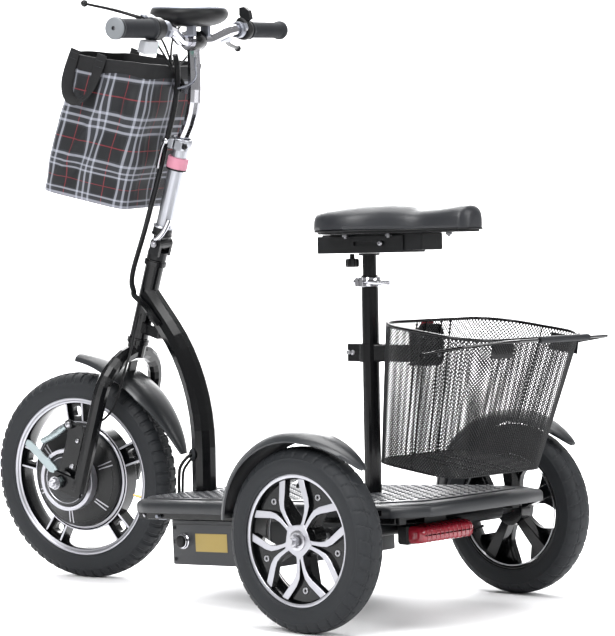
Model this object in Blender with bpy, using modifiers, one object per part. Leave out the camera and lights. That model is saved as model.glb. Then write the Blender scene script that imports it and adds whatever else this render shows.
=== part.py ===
"""Seated three-wheel electric scooter: one object for each sub-part, in metres, +Z up.

The scooter faces -Y and the rider's left is +X. The front hub-motor wheel, the fork, the folding
column and the handlebar turn on a raked steering axis, and rest a few degrees off straight ahead.
"""

import math

import bmesh
import bpy
from mathutils import Matrix, Vector

# ---- driving dimensions, metres and radians -----------------------------------------------------
REAR_AXLE_Y = 0.3580  # puts the middle of the object's length at y = 0
REAR_AXLE_Z = 0.158
GAP = 0.0003

HEAD_ANGLE = math.radians(19.0)
STEER_REST = math.radians(12.03)
AXIS_FOOT = (0.0, -0.7911, 0.2070)  # a point of the steering axis, seen from the rear axle
FRONT_AXLE_Y = -0.0498  # across the steering axis, forwards negative
FRONT_AXLE_Z = -0.0172  # along the steering axis

FRONT_TYRE_R = 0.2075
FRONT_TYRE_HALF = 0.03125
FRONT_RIM_R = 0.1600
FRONT_RING_R = 0.1045
MOTOR_R = 0.1000
DRUM_R = 0.0620
REAR_TYRE_R = 0.158
REAR_TYRE_HALF = 0.030
REAR_RIM_R = 0.1140
HALF_TRACK = 0.2959

HEAD_LOW = 0.292
HEAD_HIGH = 0.442
FOLD_Y = 0.004
FOLD_Z = 0.488
COLUMN_LOW = 0.5205
COLUMN_HIGH = 0.692
COLUMN_R = 0.0155
STEM_R = 0.0127
BAR_R = 0.0111
GRIP_Y = -0.0118
GRIP_Z = 0.9125
LEG_X = 0.093
LEG_R = 0.0150

TUBE_R = 0.0243
TUBE_Y = -0.5225
TUBE_BEND = 0.344
TUBE_BEND_Z = 0.2737
TUBE_BEND_END = math.radians(42.0)

DECK_SLOPE = math.atan(0.042)
DECK_TOP = 0.2128
SHELL_LOW = -0.0263
RAIL_LOW = -0.0408
CASE_LOW = -0.1225

SEAT_Y = -0.0985
SEAT_TUBE_TOP = 0.600
CHANNEL_LOW = 0.640
CHANNEL_HIGH = 0.671
PAD_LOW = 0.6775

BASKET_LOW_FRONT = Vector((0.0, 0.0125, 0.279))
BASKET_TILT = math.radians(8.0)
BASKET_HEIGHT = 0.246


# ---- scene and helpers --------------------------------------------------------------------------
for old in list(bpy.data.objects):
    bpy.data.objects.remove(old, do_unlink=True)

SCOOTER = bpy.data.collections.new("electric_trike")
CUTTERS = bpy.data.collections.new("cutters")
bpy.context.scene.collection.children.link(SCOOTER)
bpy.context.scene.collection.children.link(CUTTERS)


def material(name, colour, roughness, metallic=0.0):
    made = bpy.data.materials.new(name)
    made.use_nodes = True
    shader = made.node_tree.nodes["Principled BSDF"]
    shader.inputs["Base Color"].default_value = (*colour, 1.0)
    shader.inputs["Roughness"].default_value = roughness
    shader.inputs["Metallic"].default_value = metallic
    return made


GLOSS_BLACK = material("gloss_black_paint", (0.012, 0.012, 0.014), 0.22)
SATIN_BLACK = material("satin_black_paint", (0.035, 0.035, 0.038), 0.45)
CASE_GREY = material("dark_grey_steel", (0.09, 0.09, 0.095), 0.5)
BLACK_PLASTIC = material("black_plastic", (0.03, 0.032, 0.036), 0.5)
DECK_PLASTIC = material("deck_plastic", (0.06, 0.063, 0.07), 0.45)
MAT_RUBBER = material("mat_rubber", (0.09, 0.09, 0.1), 0.75)
TYRE_RUBBER = material("tyre_rubber", (0.03, 0.031, 0.034), 0.8)
GRIP_RUBBER = material("grip_rubber", (0.035, 0.037, 0.043), 0.65)
CHROME = material("chrome", (0.75, 0.75, 0.77), 0.12, 1.0)
SATIN_ALUMINIUM = material("satin_aluminium", (0.62, 0.62, 0.65), 0.35, 1.0)
ZINC = material("zinc_plate", (0.55, 0.6, 0.62), 0.4, 1.0)
PINK_PLASTIC = material("rose_plastic", (0.70, 0.32, 0.38), 0.5)
RED_LENS = material("red_lens", (0.55, 0.02, 0.03), 0.15)
CLEAR_LENS = material("clear_lens", (0.02, 0.02, 0.025), 0.08)
WHITE_PLASTIC = material("white_plastic", (0.7, 0.71, 0.72), 0.4)
GREEN_PLASTIC = material("green_plastic", (0.02, 0.3, 0.2), 0.4)
PLAID_CLOTH = material("plaid_cloth", (0.06, 0.06, 0.065), 0.9)
SADDLE_VINYL = material("saddle_vinyl", (0.03, 0.031, 0.035), 0.55)
MESH_STEEL = material("black_wire_mesh", (0.02, 0.02, 0.022), 0.45)
BRASS = material("brass", (0.6, 0.42, 0.15), 0.35, 1.0)


def empty(name, parent=None, location=(0, 0, 0), rotation=(0, 0, 0)):
    made = bpy.data.objects.new(name, None)
    made.empty_display_size = 0.05
    made.parent = parent
    made.location = location
    made.rotation_euler = rotation
    SCOOTER.objects.link(made)
    return made


def finish(obj, parent, location=(0, 0, 0), rotation=(0, 0, 0), look=None, cutter=False):
    """Links, parents and places an object; a cutter is kept out of the model."""
    obj.parent = parent
    obj.location = location
    obj.rotation_euler = rotation
    (CUTTERS if cutter else SCOOTER).objects.link(obj)
    if cutter:
        obj.hide_render = True
        obj.display_type = "WIRE"
    elif look:
        obj.data.materials.append(look)
    return obj


def mesh_from(name, bm, smooth_below=40):
    mesh = bpy.data.meshes.new(name)
    bmesh.ops.recalc_face_normals(bm, faces=bm.faces)
    bm.to_mesh(mesh)
    bm.free()
    mesh.shade_smooth()
    mesh.set_sharp_from_angle(angle=math.radians(smooth_below))
    return bpy.data.objects.new(name, mesh)


def box(name, low, high, bevel=0.0):
    """A box between two corners of its parent's space, with its origin at the parent's."""
    bm = bmesh.new()
    bmesh.ops.create_cube(bm, size=1.0)
    size = [b - a for a, b in zip(low, high)]
    middle = [(a + b) / 2 for a, b in zip(low, high)]
    bmesh.ops.scale(bm, vec=size, verts=bm.verts)
    bmesh.ops.translate(bm, vec=middle, verts=bm.verts)
    made = mesh_from(name, bm)
    if bevel:
        rounding = made.modifiers.new("edges", "BEVEL")
        rounding.width = bevel
        rounding.segments = 1
    return made


def cylinder(name, radius, start, end, sides=20, end_radius=None):
    """A solid round bar between two points of its parent's space."""
    start, end = Vector(start), Vector(end)
    bm = bmesh.new()
    far = radius if end_radius is None else end_radius
    bmesh.ops.create_cone(
        bm, cap_ends=True, segments=sides, radius1=radius, radius2=far, depth=(end - start).length
    )
    turn = (end - start).to_track_quat("Z", "Y").to_matrix().to_4x4()
    bmesh.ops.transform(bm, matrix=Matrix.Translation((start + end) / 2) @ turn, verts=bm.verts)
    return mesh_from(name, bm)


def turned(name, profile, steps=24):
    """A ring or disc turned about its own Z from (radius, height) points, outer side going down."""
    mesh = bpy.data.meshes.new(name)
    count = len(profile)
    edges = [(i, (i + 1) % count) for i in range(count)]
    if profile[0][0] == 0 and profile[-1][0] == 0:
        edges.pop()
    mesh.from_pydata([(r, 0, z) for r, z in profile], edges, [])
    made = bpy.data.objects.new(name, mesh)
    screw = made.modifiers.new("turn", "SCREW")
    screw.steps = steps
    screw.render_steps = steps
    screw.use_merge_vertices = True
    screw.merge_threshold = 0.00001
    screw.use_smooth_shade = True
    return made


def ring(name, inner, outer, low, high, steps=24):
    return turned(name, [(outer, high), (outer, low), (inner, low), (inner, high)], steps)


def rod(name, points, radius, resolution=2):
    """A bent tube, wire or rail through the points, with filled ends."""
    curve = bpy.data.curves.new(name, "CURVE")
    curve.dimensions = "3D"
    curve.bevel_depth = radius
    curve.bevel_resolution = resolution
    curve.use_fill_caps = True
    line = curve.splines.new("POLY")
    line.points.add(len(points) - 1)
    for point, place in zip(line.points, points):
        point.co = (*place, 1.0)
    return bpy.data.objects.new(name, curve)


def plate(name, outline, thickness):
    """A flat outline in XY with half its thickness each side of Z = 0."""
    curve = bpy.data.curves.new(name, "CURVE")
    curve.dimensions = "2D"
    curve.fill_mode = "BOTH"
    curve.extrude = thickness / 2
    line = curve.splines.new("POLY")
    line.points.add(len(outline) - 1)
    for point, place in zip(line.points, outline):
        point.co = (*place, 0.0, 1.0)
    line.use_cyclic_u = True
    return bpy.data.objects.new(name, curve)


def solid_mesh(obj):
    """Turns a curve object, linked to the scene, into a closed mesh object with the same place."""
    bpy.context.view_layer.update()
    graph = bpy.context.evaluated_depsgraph_get()
    mesh = bpy.data.meshes.new_from_object(obj.evaluated_get(graph))
    bm = bmesh.new()
    bm.from_mesh(mesh)
    bmesh.ops.remove_doubles(bm, verts=bm.verts, dist=0.000001)
    bmesh.ops.recalc_face_normals(bm, faces=bm.faces)
    bm.to_mesh(mesh)
    bm.free()
    mesh.shade_smooth()
    mesh.set_sharp_from_angle(angle=math.radians(40))
    name, parent = obj.name, obj.parent
    collection = obj.users_collection[0]
    hidden = obj.hide_render
    place = obj.matrix_basis.copy()
    bpy.data.objects.remove(obj, do_unlink=True)
    made = bpy.data.objects.new(name, mesh)
    made.parent = parent
    made.matrix_basis = place
    made.hide_render = hidden
    made.display_type = "WIRE" if hidden else "TEXTURED"
    collection.objects.link(made)
    return made


def loft(name, rings, closed_ends=True, smooth_below=40):
    """A skin over closed rings of points, the same number in each, with flat ends."""
    bm = bmesh.new()
    rows = [[bm.verts.new(point) for point in points] for points in rings]
    count = len(rings[0])
    for row, following in zip(rows, rows[1:]):
        for i in range(count):
            j = (i + 1) % count
            bm.faces.new((row[i], row[j], following[j], following[i]))
    if closed_ends:
        bm.faces.new(rows[0])
        bm.faces.new(rows[-1])
    else:
        for i in range(count):
            j = (i + 1) % count
            bm.faces.new((rows[-1][i], rows[-1][j], rows[0][j], rows[0][i]))
    return mesh_from(name, bm, smooth_below)


def boolean(obj, other, operation):
    step = obj.modifiers.new(operation.lower(), "BOOLEAN")
    step.operation = operation
    step.object = other


def arc(centre, radius, first, last, count):
    """Points of an arc in a plane; angles in degrees from the plane's first axis."""
    points = []
    for i in range(count + 1):
        angle = math.radians(first + (last - first) * i / count)
        points.append((centre[0] + radius * math.cos(angle), centre[1] + radius * math.sin(angle)))
    return points


def rounded_outline(half_x, low_y, high_y, radius, steps=3):
    """A rectangle about x = 0 with round corners, going anticlockwise."""
    r = radius
    points = arc((half_x - r, low_y + r), r, -90, 0, steps)
    points += arc((half_x - r, high_y - r), r, 0, 90, steps)
    points += arc((-half_x + r, high_y - r), r, 90, 180, steps)
    points += arc((-half_x + r, low_y + r), r, 180, 270, steps)
    return points


# ---- the frames that the sub-parts hang on ------------------------------------------------------
BASE = empty("rear_axle_ground", None, (0, REAR_AXLE_Y, 0))
DECK = empty("deck_plane", BASE, (0, 0, DECK_TOP), (DECK_SLOPE, 0, 0))
HEAD = empty("head_axis", BASE, AXIS_FOOT, (-HEAD_ANGLE, 0, 0))
STEER = empty("steering_axis", HEAD, (0, 0, 0), (0, 0, STEER_REST))
ACROSS = (0, math.radians(90), 0)  # turns an object's own Z, such as a wheel's axle, to the parent's +X


# ---- main frame ---------------------------------------------------------------------------------
def down_tube_path(reach):
    """From the deck straight up, then an arc forwards, then straight into the head tube."""
    path = [(0, TUBE_Y, 0.1895), (0, TUBE_Y, 0.235)]
    for i in range(9):
        angle = TUBE_BEND_END * i / 8
        y = TUBE_Y - TUBE_BEND * (1 - math.cos(angle))
        path.append((0, y, TUBE_BEND_Z + TUBE_BEND * math.sin(angle)))
    y = path[-1][1] - reach * math.sin(TUBE_BEND_END)
    path.append((0, y, path[-1][2] + reach * math.cos(TUBE_BEND_END)))
    return path


def main_frame():
    tube = solid_mesh(finish(rod("front_frame", down_tube_path(0.083), TUBE_R, 3), BASE))
    tube.data.materials.append(GLOSS_BLACK)
    bore_path = down_tube_path(0.070)
    bore_path[0] = (0, TUBE_Y, 0.1)
    bore = finish(rod("down_tube_bore", bore_path, TUBE_R - 0.0022, 3), BASE, cutter=True)
    boolean(tube, solid_mesh(bore), "DIFFERENCE")
    beyond = box("beyond_head_tube", (-0.04, -0.12, 0.2), (0.04, 0.002, 0.56))
    finish(beyond, HEAD, cutter=True)
    boolean(tube, beyond, "DIFFERENCE")
    head = cylinder("head_tube", 0.0185, (0, 0, HEAD_LOW - 0.002), (0, 0, HEAD_HIGH + 0.002), 24)
    finish(head, HEAD, cutter=True)
    boolean(tube, head, "UNION")
    for label, low in (("lower", HEAD_LOW - 0.0105), ("upper", HEAD_HIGH + 0.0005)):
        cup = cylinder(f"headset_cup_{label}", 0.0215, (0, 0, low), (0, 0, low + 0.0120), 24)
        finish(cup, HEAD, cutter=True)
        boolean(tube, cup, "UNION")
    strut = box("head_gusset", (-0.014, 0.0120, -0.011), (0.014, 0.0625, 0.011), 0.002)
    finish(strut, HEAD, (0, 0, 0.318), (math.radians(3), 0, 0), cutter=True)
    boolean(tube, strut, "UNION")
    head_bore = cylinder("head_tube_bore", 0.0130, (0, 0, 0.2), (0, 0, 0.5), 24)
    finish(head_bore, HEAD, cutter=True)
    boolean(tube, head_bore, "DIFFERENCE")

    seat = ring("seat_tube", 0.0131, 0.0155, 0.1975, SEAT_TUBE_TOP, 20)
    finish(seat, BASE, (0, SEAT_Y, 0), look=GLOSS_BLACK)


def deck_outline(inset, front_y, rear_y):
    """The deck seen from above: round front corners, sides that widen, cut rear corners."""
    half = 0.194 - inset
    wide = 0.203 - inset
    radius = 0.075 - inset * 0.5
    points = arc((half - radius, front_y + radius), radius, -90, 0, 4)
    points += [(wide, rear_y - 0.062), (wide - 0.044, rear_y - 0.004), (0.06, rear_y)]
    return points + [(-x, y) for x, y in reversed(points)]


def tube_holes(obj):
    for label, y, radius in (("down", TUBE_Y, TUBE_R), ("seat", SEAT_Y, 0.0155)):
        hole = cylinder(f"{label}_hole_{obj.name}", radius + 0.0006, (0, y, 0.1), (0, y, 0.3), 24)
        finish(hole, BASE, cutter=True)
        boolean(obj, hole, "DIFFERENCE")


def deck():
    depth = -SHELL_LOW - 0.0035
    shell = finish(
        plate("deck_shell", deck_outline(0, -0.557, 0.168), depth),
        DECK, (0, 0, (SHELL_LOW - 0.0035) / 2),
    )
    shell = solid_mesh(shell)
    shell.data.materials.append(DECK_PLASTIC)
    hollow = plate("deck_hollow", deck_outline(0.0035, -0.5535, 0.1645), depth)
    finish(hollow, DECK, (0, 0, (SHELL_LOW - 0.0035) / 2 - 0.0035), cutter=True)
    boolean(shell, solid_mesh(hollow), "DIFFERENCE")
    tube_holes(shell)

    mat = plate("deck_mat", deck_outline(0.028, -0.548, 0.128), 0.0032)
    mat = solid_mesh(finish(mat, DECK, (0, 0, -0.0016)))
    mat.data.materials.append(MAT_RUBBER)
    tube_holes(mat)

    top, low = SHELL_LOW - GAP, RAIL_LOW
    chassis = box("chassis", (-0.152, -0.552, low), (0.152, -0.506, top), 0.001)
    finish(chassis, DECK, look=SATIN_BLACK)
    for side, label in ((1, "left"), (-1, "right")):
        corners = sorted((side * 0.1505, side * 0.170))
        rail = box(f"side_rail_{label}", (corners[0], -0.515, low), (corners[1], 0.10, top), 0.001)
        finish(rail, DECK, cutter=True)
        boolean(chassis, rail, "UNION")
    for label, front, back in (("middle", -0.120, -0.077), ("rear", 0.020, 0.052)):
        beam = box(f"cross_member_{label}", (-0.155, front, low + 0.0004), (0.155, back, top - 0.0004),
                   0.001)
        finish(beam, DECK, cutter=True)
        boolean(chassis, beam, "UNION")
    tube = cylinder("rear_axle_tube", 0.0142, (-0.238, 0, REAR_AXLE_Z), (0.238, 0, REAR_AXLE_Z), 20)
    finish(tube, BASE, cutter=True)
    boolean(chassis, tube, "UNION")
    bore = cylinder("rear_axle_bore", 0.0063, (-0.3, 0, REAR_AXLE_Z), (0.3, 0, REAR_AXLE_Z), 16)
    finish(bore, BASE, cutter=True)
    boolean(chassis, bore, "DIFFERENCE")


def battery_box():
    top = RAIL_LOW - GAP
    case = box("battery_case", (-0.172, -0.446, CASE_LOW), (0.172, -0.196, top), 0.003)
    finish(case, DECK, look=CASE_GREY)
    inside = box("battery_case_hollow", (-0.1695, -0.4435, CASE_LOW + 0.0025), (0.1695, -0.1985, 0))
    finish(inside, DECK, cutter=True)
    boolean(case, inside, "DIFFERENCE")
    port = cylinder("charge_port", 0.0135, (0.170, -0.415, -0.079), (0.1795, -0.415, -0.079), 16)
    finish(port, DECK, cutter=True)
    boolean(case, port, "UNION")
    cap = turned("charge_cap", [(0, 0.0055), (0.007, 0.0055), (0.0112, 0.0025), (0.0112, 0), (0, 0)], 16)
    hinge = empty("charge_cap_hinge", DECK, (0.1795 + GAP, -0.415, -0.0665))
    finish(cap, hinge, (0, 0, -0.0125), ACROSS, BLACK_PLASTIC)


# ---- rear wheels, fenders and light -------------------------------------------------------------
def tyre_profile(outer, inner, half):
    """A tyre's section as (radius, height), down its outer side from the top bead."""
    return [
        (inner, half * 0.72), (inner + (outer - inner) * 0.30, half * 0.97),
        (inner + (outer - inner) * 0.62, half), (outer - half * 0.27, half * 0.78),
        (outer - half * 0.07, half * 0.42), (outer, 0),
        (outer - half * 0.07, -half * 0.42), (outer - half * 0.27, -half * 0.78),
        (inner + (outer - inner) * 0.62, -half), (inner + (outer - inner) * 0.30, -half * 0.97),
        (inner, -half * 0.72),
    ]


def rear_rim(side, label, hub):
    """Rim ring, five split spokes and hub boss, joined; its own Z points outboard."""
    band = [(REAR_RIM_R, 0.0255), (REAR_RIM_R, -0.0255), (0.1080, -0.0255), (0.1010, -0.016)]
    band += [(0.1010, 0.019), (0.1080, 0.0255)]
    rim = turned(f"rear_rim_{label}", band, 40)
    finish(rim, hub, (0, 0, 0), ACROSS, SATIN_ALUMINIUM)
    boss = ring(f"rear_boss_{label}", 0.0061, 0.024, -0.022, 0.021, 20)
    finish(boss, hub, (0, 0, 0), ACROSS, cutter=True)
    boolean(rim, boss, "UNION")
    for i in range(5):
        for lean in (-1, 1):
            angle = math.radians(72 * i + 18)
            start = Vector((0.020 * math.cos(angle), 0.020 * math.sin(angle), 0.007))
            far = angle + lean * math.radians(17)
            end = Vector((0.106 * math.cos(far), 0.106 * math.sin(far), 0.009))
            spoke = box(f"spoke_{label}_{i}_{lean}", (-0.0045, -0.008, 0),
                        (0.0045, 0.008, (end - start).length))
            finish(spoke, rim, cutter=True)
            spoke.matrix_basis = Matrix.Translation(start) @ track(end - start)
            boolean(rim, spoke, "UNION")


def track(direction):
    """A turn that takes +Z to the direction and keeps the object's X in the wheel's plane."""
    z = direction.normalized()
    x = Vector((0, 0, 1)).cross(z).normalized()
    return Matrix((x, z.cross(x), z)).transposed().to_4x4()


def rear_axle():
    shaft = cylinder("rear_axle", 0.006, (-0.3365, 0, REAR_AXLE_Z), (0.3365, 0, REAR_AXLE_Z), 16)
    finish(shaft, BASE, look=CHROME)
    for side, label in ((1, "left"), (-1, "right")):
        hub = empty(f"rear_hub_{label}", BASE, (side * HALF_TRACK, 0, REAR_AXLE_Z))
        hub.rotation_euler = (0, 0, 0 if side > 0 else math.pi)
        tyre = turned(f"rear_tyre_{label}", tyre_profile(REAR_TYRE_R, REAR_RIM_R + GAP, REAR_TYRE_HALF), 40)
        finish(tyre, hub, (0, 0, 0), ACROSS, TYRE_RUBBER)
        rear_rim(side, label, hub)
        nut = cylinder(f"axle_nut_{label}", 0.0100, (0.0225, 0, 0), (0.0340, 0, 0), 6)
        finish(nut, hub, cutter=True)
        boolean(shaft, nut, "UNION")


def swept(name, centre, section, first, last, count):
    """A shell bent round an axle: section(angle) gives a ring of (x, radius) points, degrees from up."""
    rings = []
    for i in range(count + 1):
        degrees = first + (last - first) * i / count
        angle = math.radians(degrees)
        rings.append([
            (x, centre[0] + radius * math.sin(angle), centre[1] + radius * math.cos(angle))
            for x, radius in section(i / count)
        ])
    return loft(name, rings)


def fender_section(half_at, crown, drop, thick):
    """A bowed strip's section, narrowed along its length by half_at."""
    def section(t):
        half = half_at(t)
        across = (-1.0, -0.8, -0.4, 0.0, 0.4, 0.8, 1.0)
        outer = [(half * a, crown - drop * (half / half_at(0.5)) * abs(a) ** 2.6) for a in across]
        inner = [(x * (1 - thick / half * 0.8), r - thick) for x, r in reversed(outer)]
        return outer + inner
    return section


def rear_fenders():
    def half_at(t):
        return 0.0395 * min(1.0, 0.45 + 2.6 * t, 0.30 + 2.9 * (1 - t))
    for side, label in ((1, "left"), (-1, "right")):
        section = fender_section(half_at, 0.186, 0.014, 0.0026)
        fender = swept(f"rear_fender_{label}", (0, REAR_AXLE_Z), section, -82, 47, 18)
        finish(fender, BASE, (side * 0.297, 0, 0), look=BLACK_PLASTIC)
        corners = sorted((side * 0.1996, side * 0.288))
        stay = box(f"fender_stay_{label}", (corners[0], -0.188, -0.0200), (corners[1], -0.165, -0.0140))
        finish(stay, DECK, cutter=True)
        boolean(fender, stay, "UNION")


def tail_light():
    housing = box("tail_light_housing", (-0.080, 0.020, 0.129), (0.080, 0.046, 0.1650), 0.004)
    neck = box("tail_light_neck", (-0.03, 0.0225, 0.160), (0.03, 0.0435, 0.1728))
    finish(housing, BASE, look=BLACK_PLASTIC)
    finish(neck, BASE, cutter=True)
    boolean(housing, neck, "UNION")
    rings = []
    for y, half, low, high in ((0.0463, 0.078, 0.131, 0.163), (0.066, 0.076, 0.132, 0.161),
        (0.074, 0.068, 0.137, 0.155)):
        rings.append([(x, y, z) for x, z in arc_box(half, low, high, 0.010)])
    finish(loft("tail_light_lens", rings), BASE, look=RED_LENS)


def arc_box(half, low, high, radius, steps=2):
    return rounded_outline(half, low, high, radius, steps)


# ---- seat ---------------------------------------------------------------------------------------
def seat():
    place = (0, SEAT_Y, 0)
    collar = ring("seat_clamp", 0.0158, 0.0205, 0.579, 0.597, 20)
    finish(collar, BASE, place, look=CHROME)
    ears = box("seat_clamp_ears", (0.018, -0.009, 0.580), (0.031, 0.009, 0.596))
    finish(ears, BASE, place, cutter=True)
    boolean(collar, ears, "UNION")
    hinge = empty("seat_lever_pivot", BASE, (0.0275, SEAT_Y + 0.0165, 0.588))
    lever = rod("seat_clamp_lever", [(-0.003, 0, 0), (-0.0005, 0.0045, 0), (-0.0025, 0.0235, -0.0015),
        (-0.0095, 0.0455, -0.002)],
                0.0042)
    finish(lever, hinge, look=CHROME)
    post = cylinder("seat_post", 0.0127, (0, 0, 0.42), (0, 0, CHANNEL_LOW - GAP), 20)
    finish(post, BASE, place, look=GLOSS_BLACK)

    channel = box("seat_slider_channel", (-0.032, -0.195, CHANNEL_LOW), (0.032, 0.006, CHANNEL_HIGH), 0.001)
    finish(channel, BASE, look=SATIN_BLACK)
    trough = box("channel_trough", (-0.0292, -0.21, CHANNEL_LOW + 0.003), (0.0292, 0.03, 0.7))
    finish(trough, BASE, cutter=True)
    boolean(channel, trough, "DIFFERENCE")
    slot = box("channel_slot", (-0.05, -0.108, 0.6535), (0.05, -0.034, 0.6605))
    finish(slot, BASE, cutter=True)
    boolean(channel, slot, "DIFFERENCE")
    knob = [(0, 0.6395), (0.0045, 0.6395), (0.0045, 0.631), (0.0125, 0.629), (0.0125, 0.617),
            (0.010, 0.6145), (0, 0.6145)]
    finish(turned("slider_knob", knob, 12), BASE, (0, -0.139, 0), look=BLACK_PLASTIC)

    slider = box("seat_slider", (-0.0287, -0.186, 0.6435), (0.0287, 0.046, 0.6740), 0.001)
    finish(slider, BASE, look=SATIN_BLACK)
    slider_bore = box("slider_bore", (-0.0262, -0.3, 0.6460), (0.0262, 0.2, 0.6715))
    finish(slider_bore, BASE, cutter=True)
    boolean(slider, slider_bore, "DIFFERENCE")
    base = saddle_shape("saddle_base", 0.6737, 0.6772, 0.86, 0.0)
    finish(base, BASE, cutter=True)
    boolean(slider, base, "UNION")
    pad = saddle_shape("saddle", PAD_LOW, 0.7135, 1.0, 0.0135)
    finish(pad, BASE, look=SADDLE_VINYL)


def saddle_half_width(t):
    """Half the saddle's width along its length: wide at the front, a narrow nose at the rear."""
    table = (0.050, 0.098, 0.117, 0.1215, 0.117, 0.105, 0.084, 0.060, 0.045, 0.040, 0.038, 0.035, 0.026)
    place = t * (len(table) - 1)
    i = min(int(place), len(table) - 2)
    return table[i] + (table[i + 1] - table[i]) * (place - i)


def saddle_shape(name, low, high, scale, crown):
    """A pad over the saddle's outline: straight sides, and a top that bulges by crown."""
    first, last, count = -0.172, 0.146, 16
    middle = (first + last) / 2
    rings = []
    for i in range(count + 1):
        t = i / count
        half = saddle_half_width(t) * scale
        y = middle + (first + (last - first) * t - middle) * scale
        lift = crown * math.sin(math.pi * min(1, 0.12 + 1.25 * t)) if t < 0.55 else -0.002
        top = high + (lift if crown else 0)
        shoulder = low + (top - low) * 0.62
        points = [(-half * 0.90, y, low), (-half, y, low + (top - low) * 0.15), (-half * 0.985, y, shoulder)]
        points += [(-half * 0.86, y, top - 0.001), (0, y, top + crown * 0.08)]
        points += [(-x, y0, z) for x, y0, z in reversed(points[:-1])]
        if not crown:
            points = [(-half, y, low), (-half, y, high), (half, y, high), (half, y, low)]
        rings.append(points)
    return loft(name, rings, smooth_below=50)


# ---- rear basket --------------------------------------------------------------------------------
def basket_ring(half, depth, radius, height):
    """A level of the basket in its own tilted space: y from its front wall, z from its floor."""
    return [(x, y, height) for x, y in rounded_outline(half, 0.0, depth, radius, 3)]


def basket():
    thick = 0.003
    rings = []
    levels = ((0.140, 0.180, 0.050, 0.0), (0.158, 0.203, 0.060, 0.123), (0.175, 0.226, 0.070, BASKET_HEIGHT))
    for half, depth, radius, height in levels:
        rings.append(basket_ring(half, depth, radius, height))
    for half, depth, radius, height in reversed(levels):
        inner = rounded_outline(half - thick, thick, depth - thick, radius - thick, 3)
        rings.append([(x, y, height if height else thick) for x, y in inner])
    tray = loft("rear_basket", rings)
    space = empty("basket_space", BASE, BASKET_LOW_FRONT, (-BASKET_TILT, 0, 0))
    finish(tray, space, look=MESH_STEEL)
    reach = 0.163
    pivot = empty("basket_handle_pivot", BASE, (0, 0.165, 0.4660))
    handle = [(0.1815, 0.0, 0.0), (0.1815, 0.030, 0.006), (0.176, 0.085, 0.014),
              (0.150, reach - 0.016, 0.022),
              (0.125, reach, 0.0235)]
    handle += [(-x, y, z) for x, y, z in reversed(handle)]
    finish(rod("basket_handle", handle, 0.0025), pivot, look=SATIN_BLACK)
    bracket = ring("basket_bracket", 0.0158, 0.0215, 0.4440, 0.4770, 20)
    finish(bracket, BASE, (0, SEAT_Y, 0), look=BLACK_PLASTIC)
    ears = box("basket_clamp_ears", (-0.011, -0.046, 0.4445), (0.011, 0.030, 0.4765))
    finish(ears, BASE, (0, SEAT_Y, 0), cutter=True)
    boolean(bracket, ears, "UNION")
    arm = box("basket_arm", (-0.018, SEAT_Y + 0.0200, 0.4455), (0.018, 0.0270, 0.4755), 0.002)
    finish(arm, BASE, cutter=True)
    boolean(bracket, arm, "UNION")
    back_plate = box("basket_plate", (-0.045, 0.0265, 0.440), (0.045, 0.0315, 0.5050), 0.002)
    finish(back_plate, BASE, cutter=True)
    boolean(bracket, back_plate, "UNION")
    hole = cylinder("basket_clamp_hole", 0.0158, (0, SEAT_Y, 0.4), (0, SEAT_Y, 0.5), 20)
    finish(hole, BASE, cutter=True)
    boolean(bracket, hole, "DIFFERENCE")
    reflector = box("rear_reflector", (-0.016, 0.0300, 0.5055), (0.016, 0.0350, 0.5225), 0.0015)
    finish(reflector, BASE, look=RED_LENS)


# ---- fork, front wheel and brake ----------------------------------------------------------------
def fork_arch(degrees):
    angle = math.radians(degrees)
    return (LEG_X * math.sin(angle), 0.0, 0.183 + 0.081 * math.cos(angle))


def fork():
    path = [(LEG_X, 0, -0.020), (LEG_X, 0, 0.055), (LEG_X, 0, 0.12)]
    path += [fork_arch(90 - 12.857 * i) for i in range(8)]
    path += [(-x, y, z) for x, y, z in reversed(path[:-1])]
    blades = solid_mesh(finish(rod("fork", path, LEG_R, 3), STEER))
    blades.data.materials.append(GLOSS_BLACK)
    steerer = cylinder("steerer_tube", 0.0125, (0, 0, 0.262), (0, 0, HEAD_HIGH + 0.0135), 20)
    finish(steerer, STEER, cutter=True)
    boolean(blades, steerer, "UNION")
    crown = cylinder("fork_crown", 0.0190, (0, 0, 0.255), (0, 0, 0.2810), 20)
    finish(crown, STEER, cutter=True)
    boolean(blades, crown, "UNION")
    middle = (0, FRONT_AXLE_Y, FRONT_AXLE_Z)
    for side, label in ((1, "left"), (-1, "right")):
        corners = sorted((side * 0.0885, side * 0.0975))
        drop = box(f"dropout_{label}", (corners[0], -0.064, -0.0325), (corners[1], 0.004, 0.002))
        finish(drop, STEER, cutter=True)
        boolean(blades, drop, "UNION")
    slot = box("axle_slot", (-0.12, -0.0562, -0.05), (0.12, -0.0434, -0.0172))
    finish(slot, STEER, cutter=True)
    boolean(blades, slot, "DIFFERENCE")
    hole = cylinder("axle_hole", 0.0064, (-0.12, FRONT_AXLE_Y, FRONT_AXLE_Z),
                    (0.12, FRONT_AXLE_Y, FRONT_AXLE_Z), 16)
    finish(hole, STEER, cutter=True)
    boolean(blades, hole, "DIFFERENCE")
    shaft = cylinder("front_axle", 0.006, (-0.1120, 0, 0), (0.1120, 0, 0), 16)
    finish(shaft, STEER, middle, look=CHROME)
    for side, label in ((1, "left"), (-1, "right")):
        nut = cylinder(f"front_axle_nut_{label}", 0.0110, (side * 0.0978, 0, 0), (side * 0.1075, 0, 0), 6)
        finish(nut, STEER, middle, cutter=True)
        boolean(shaft, nut, "UNION")


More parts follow.
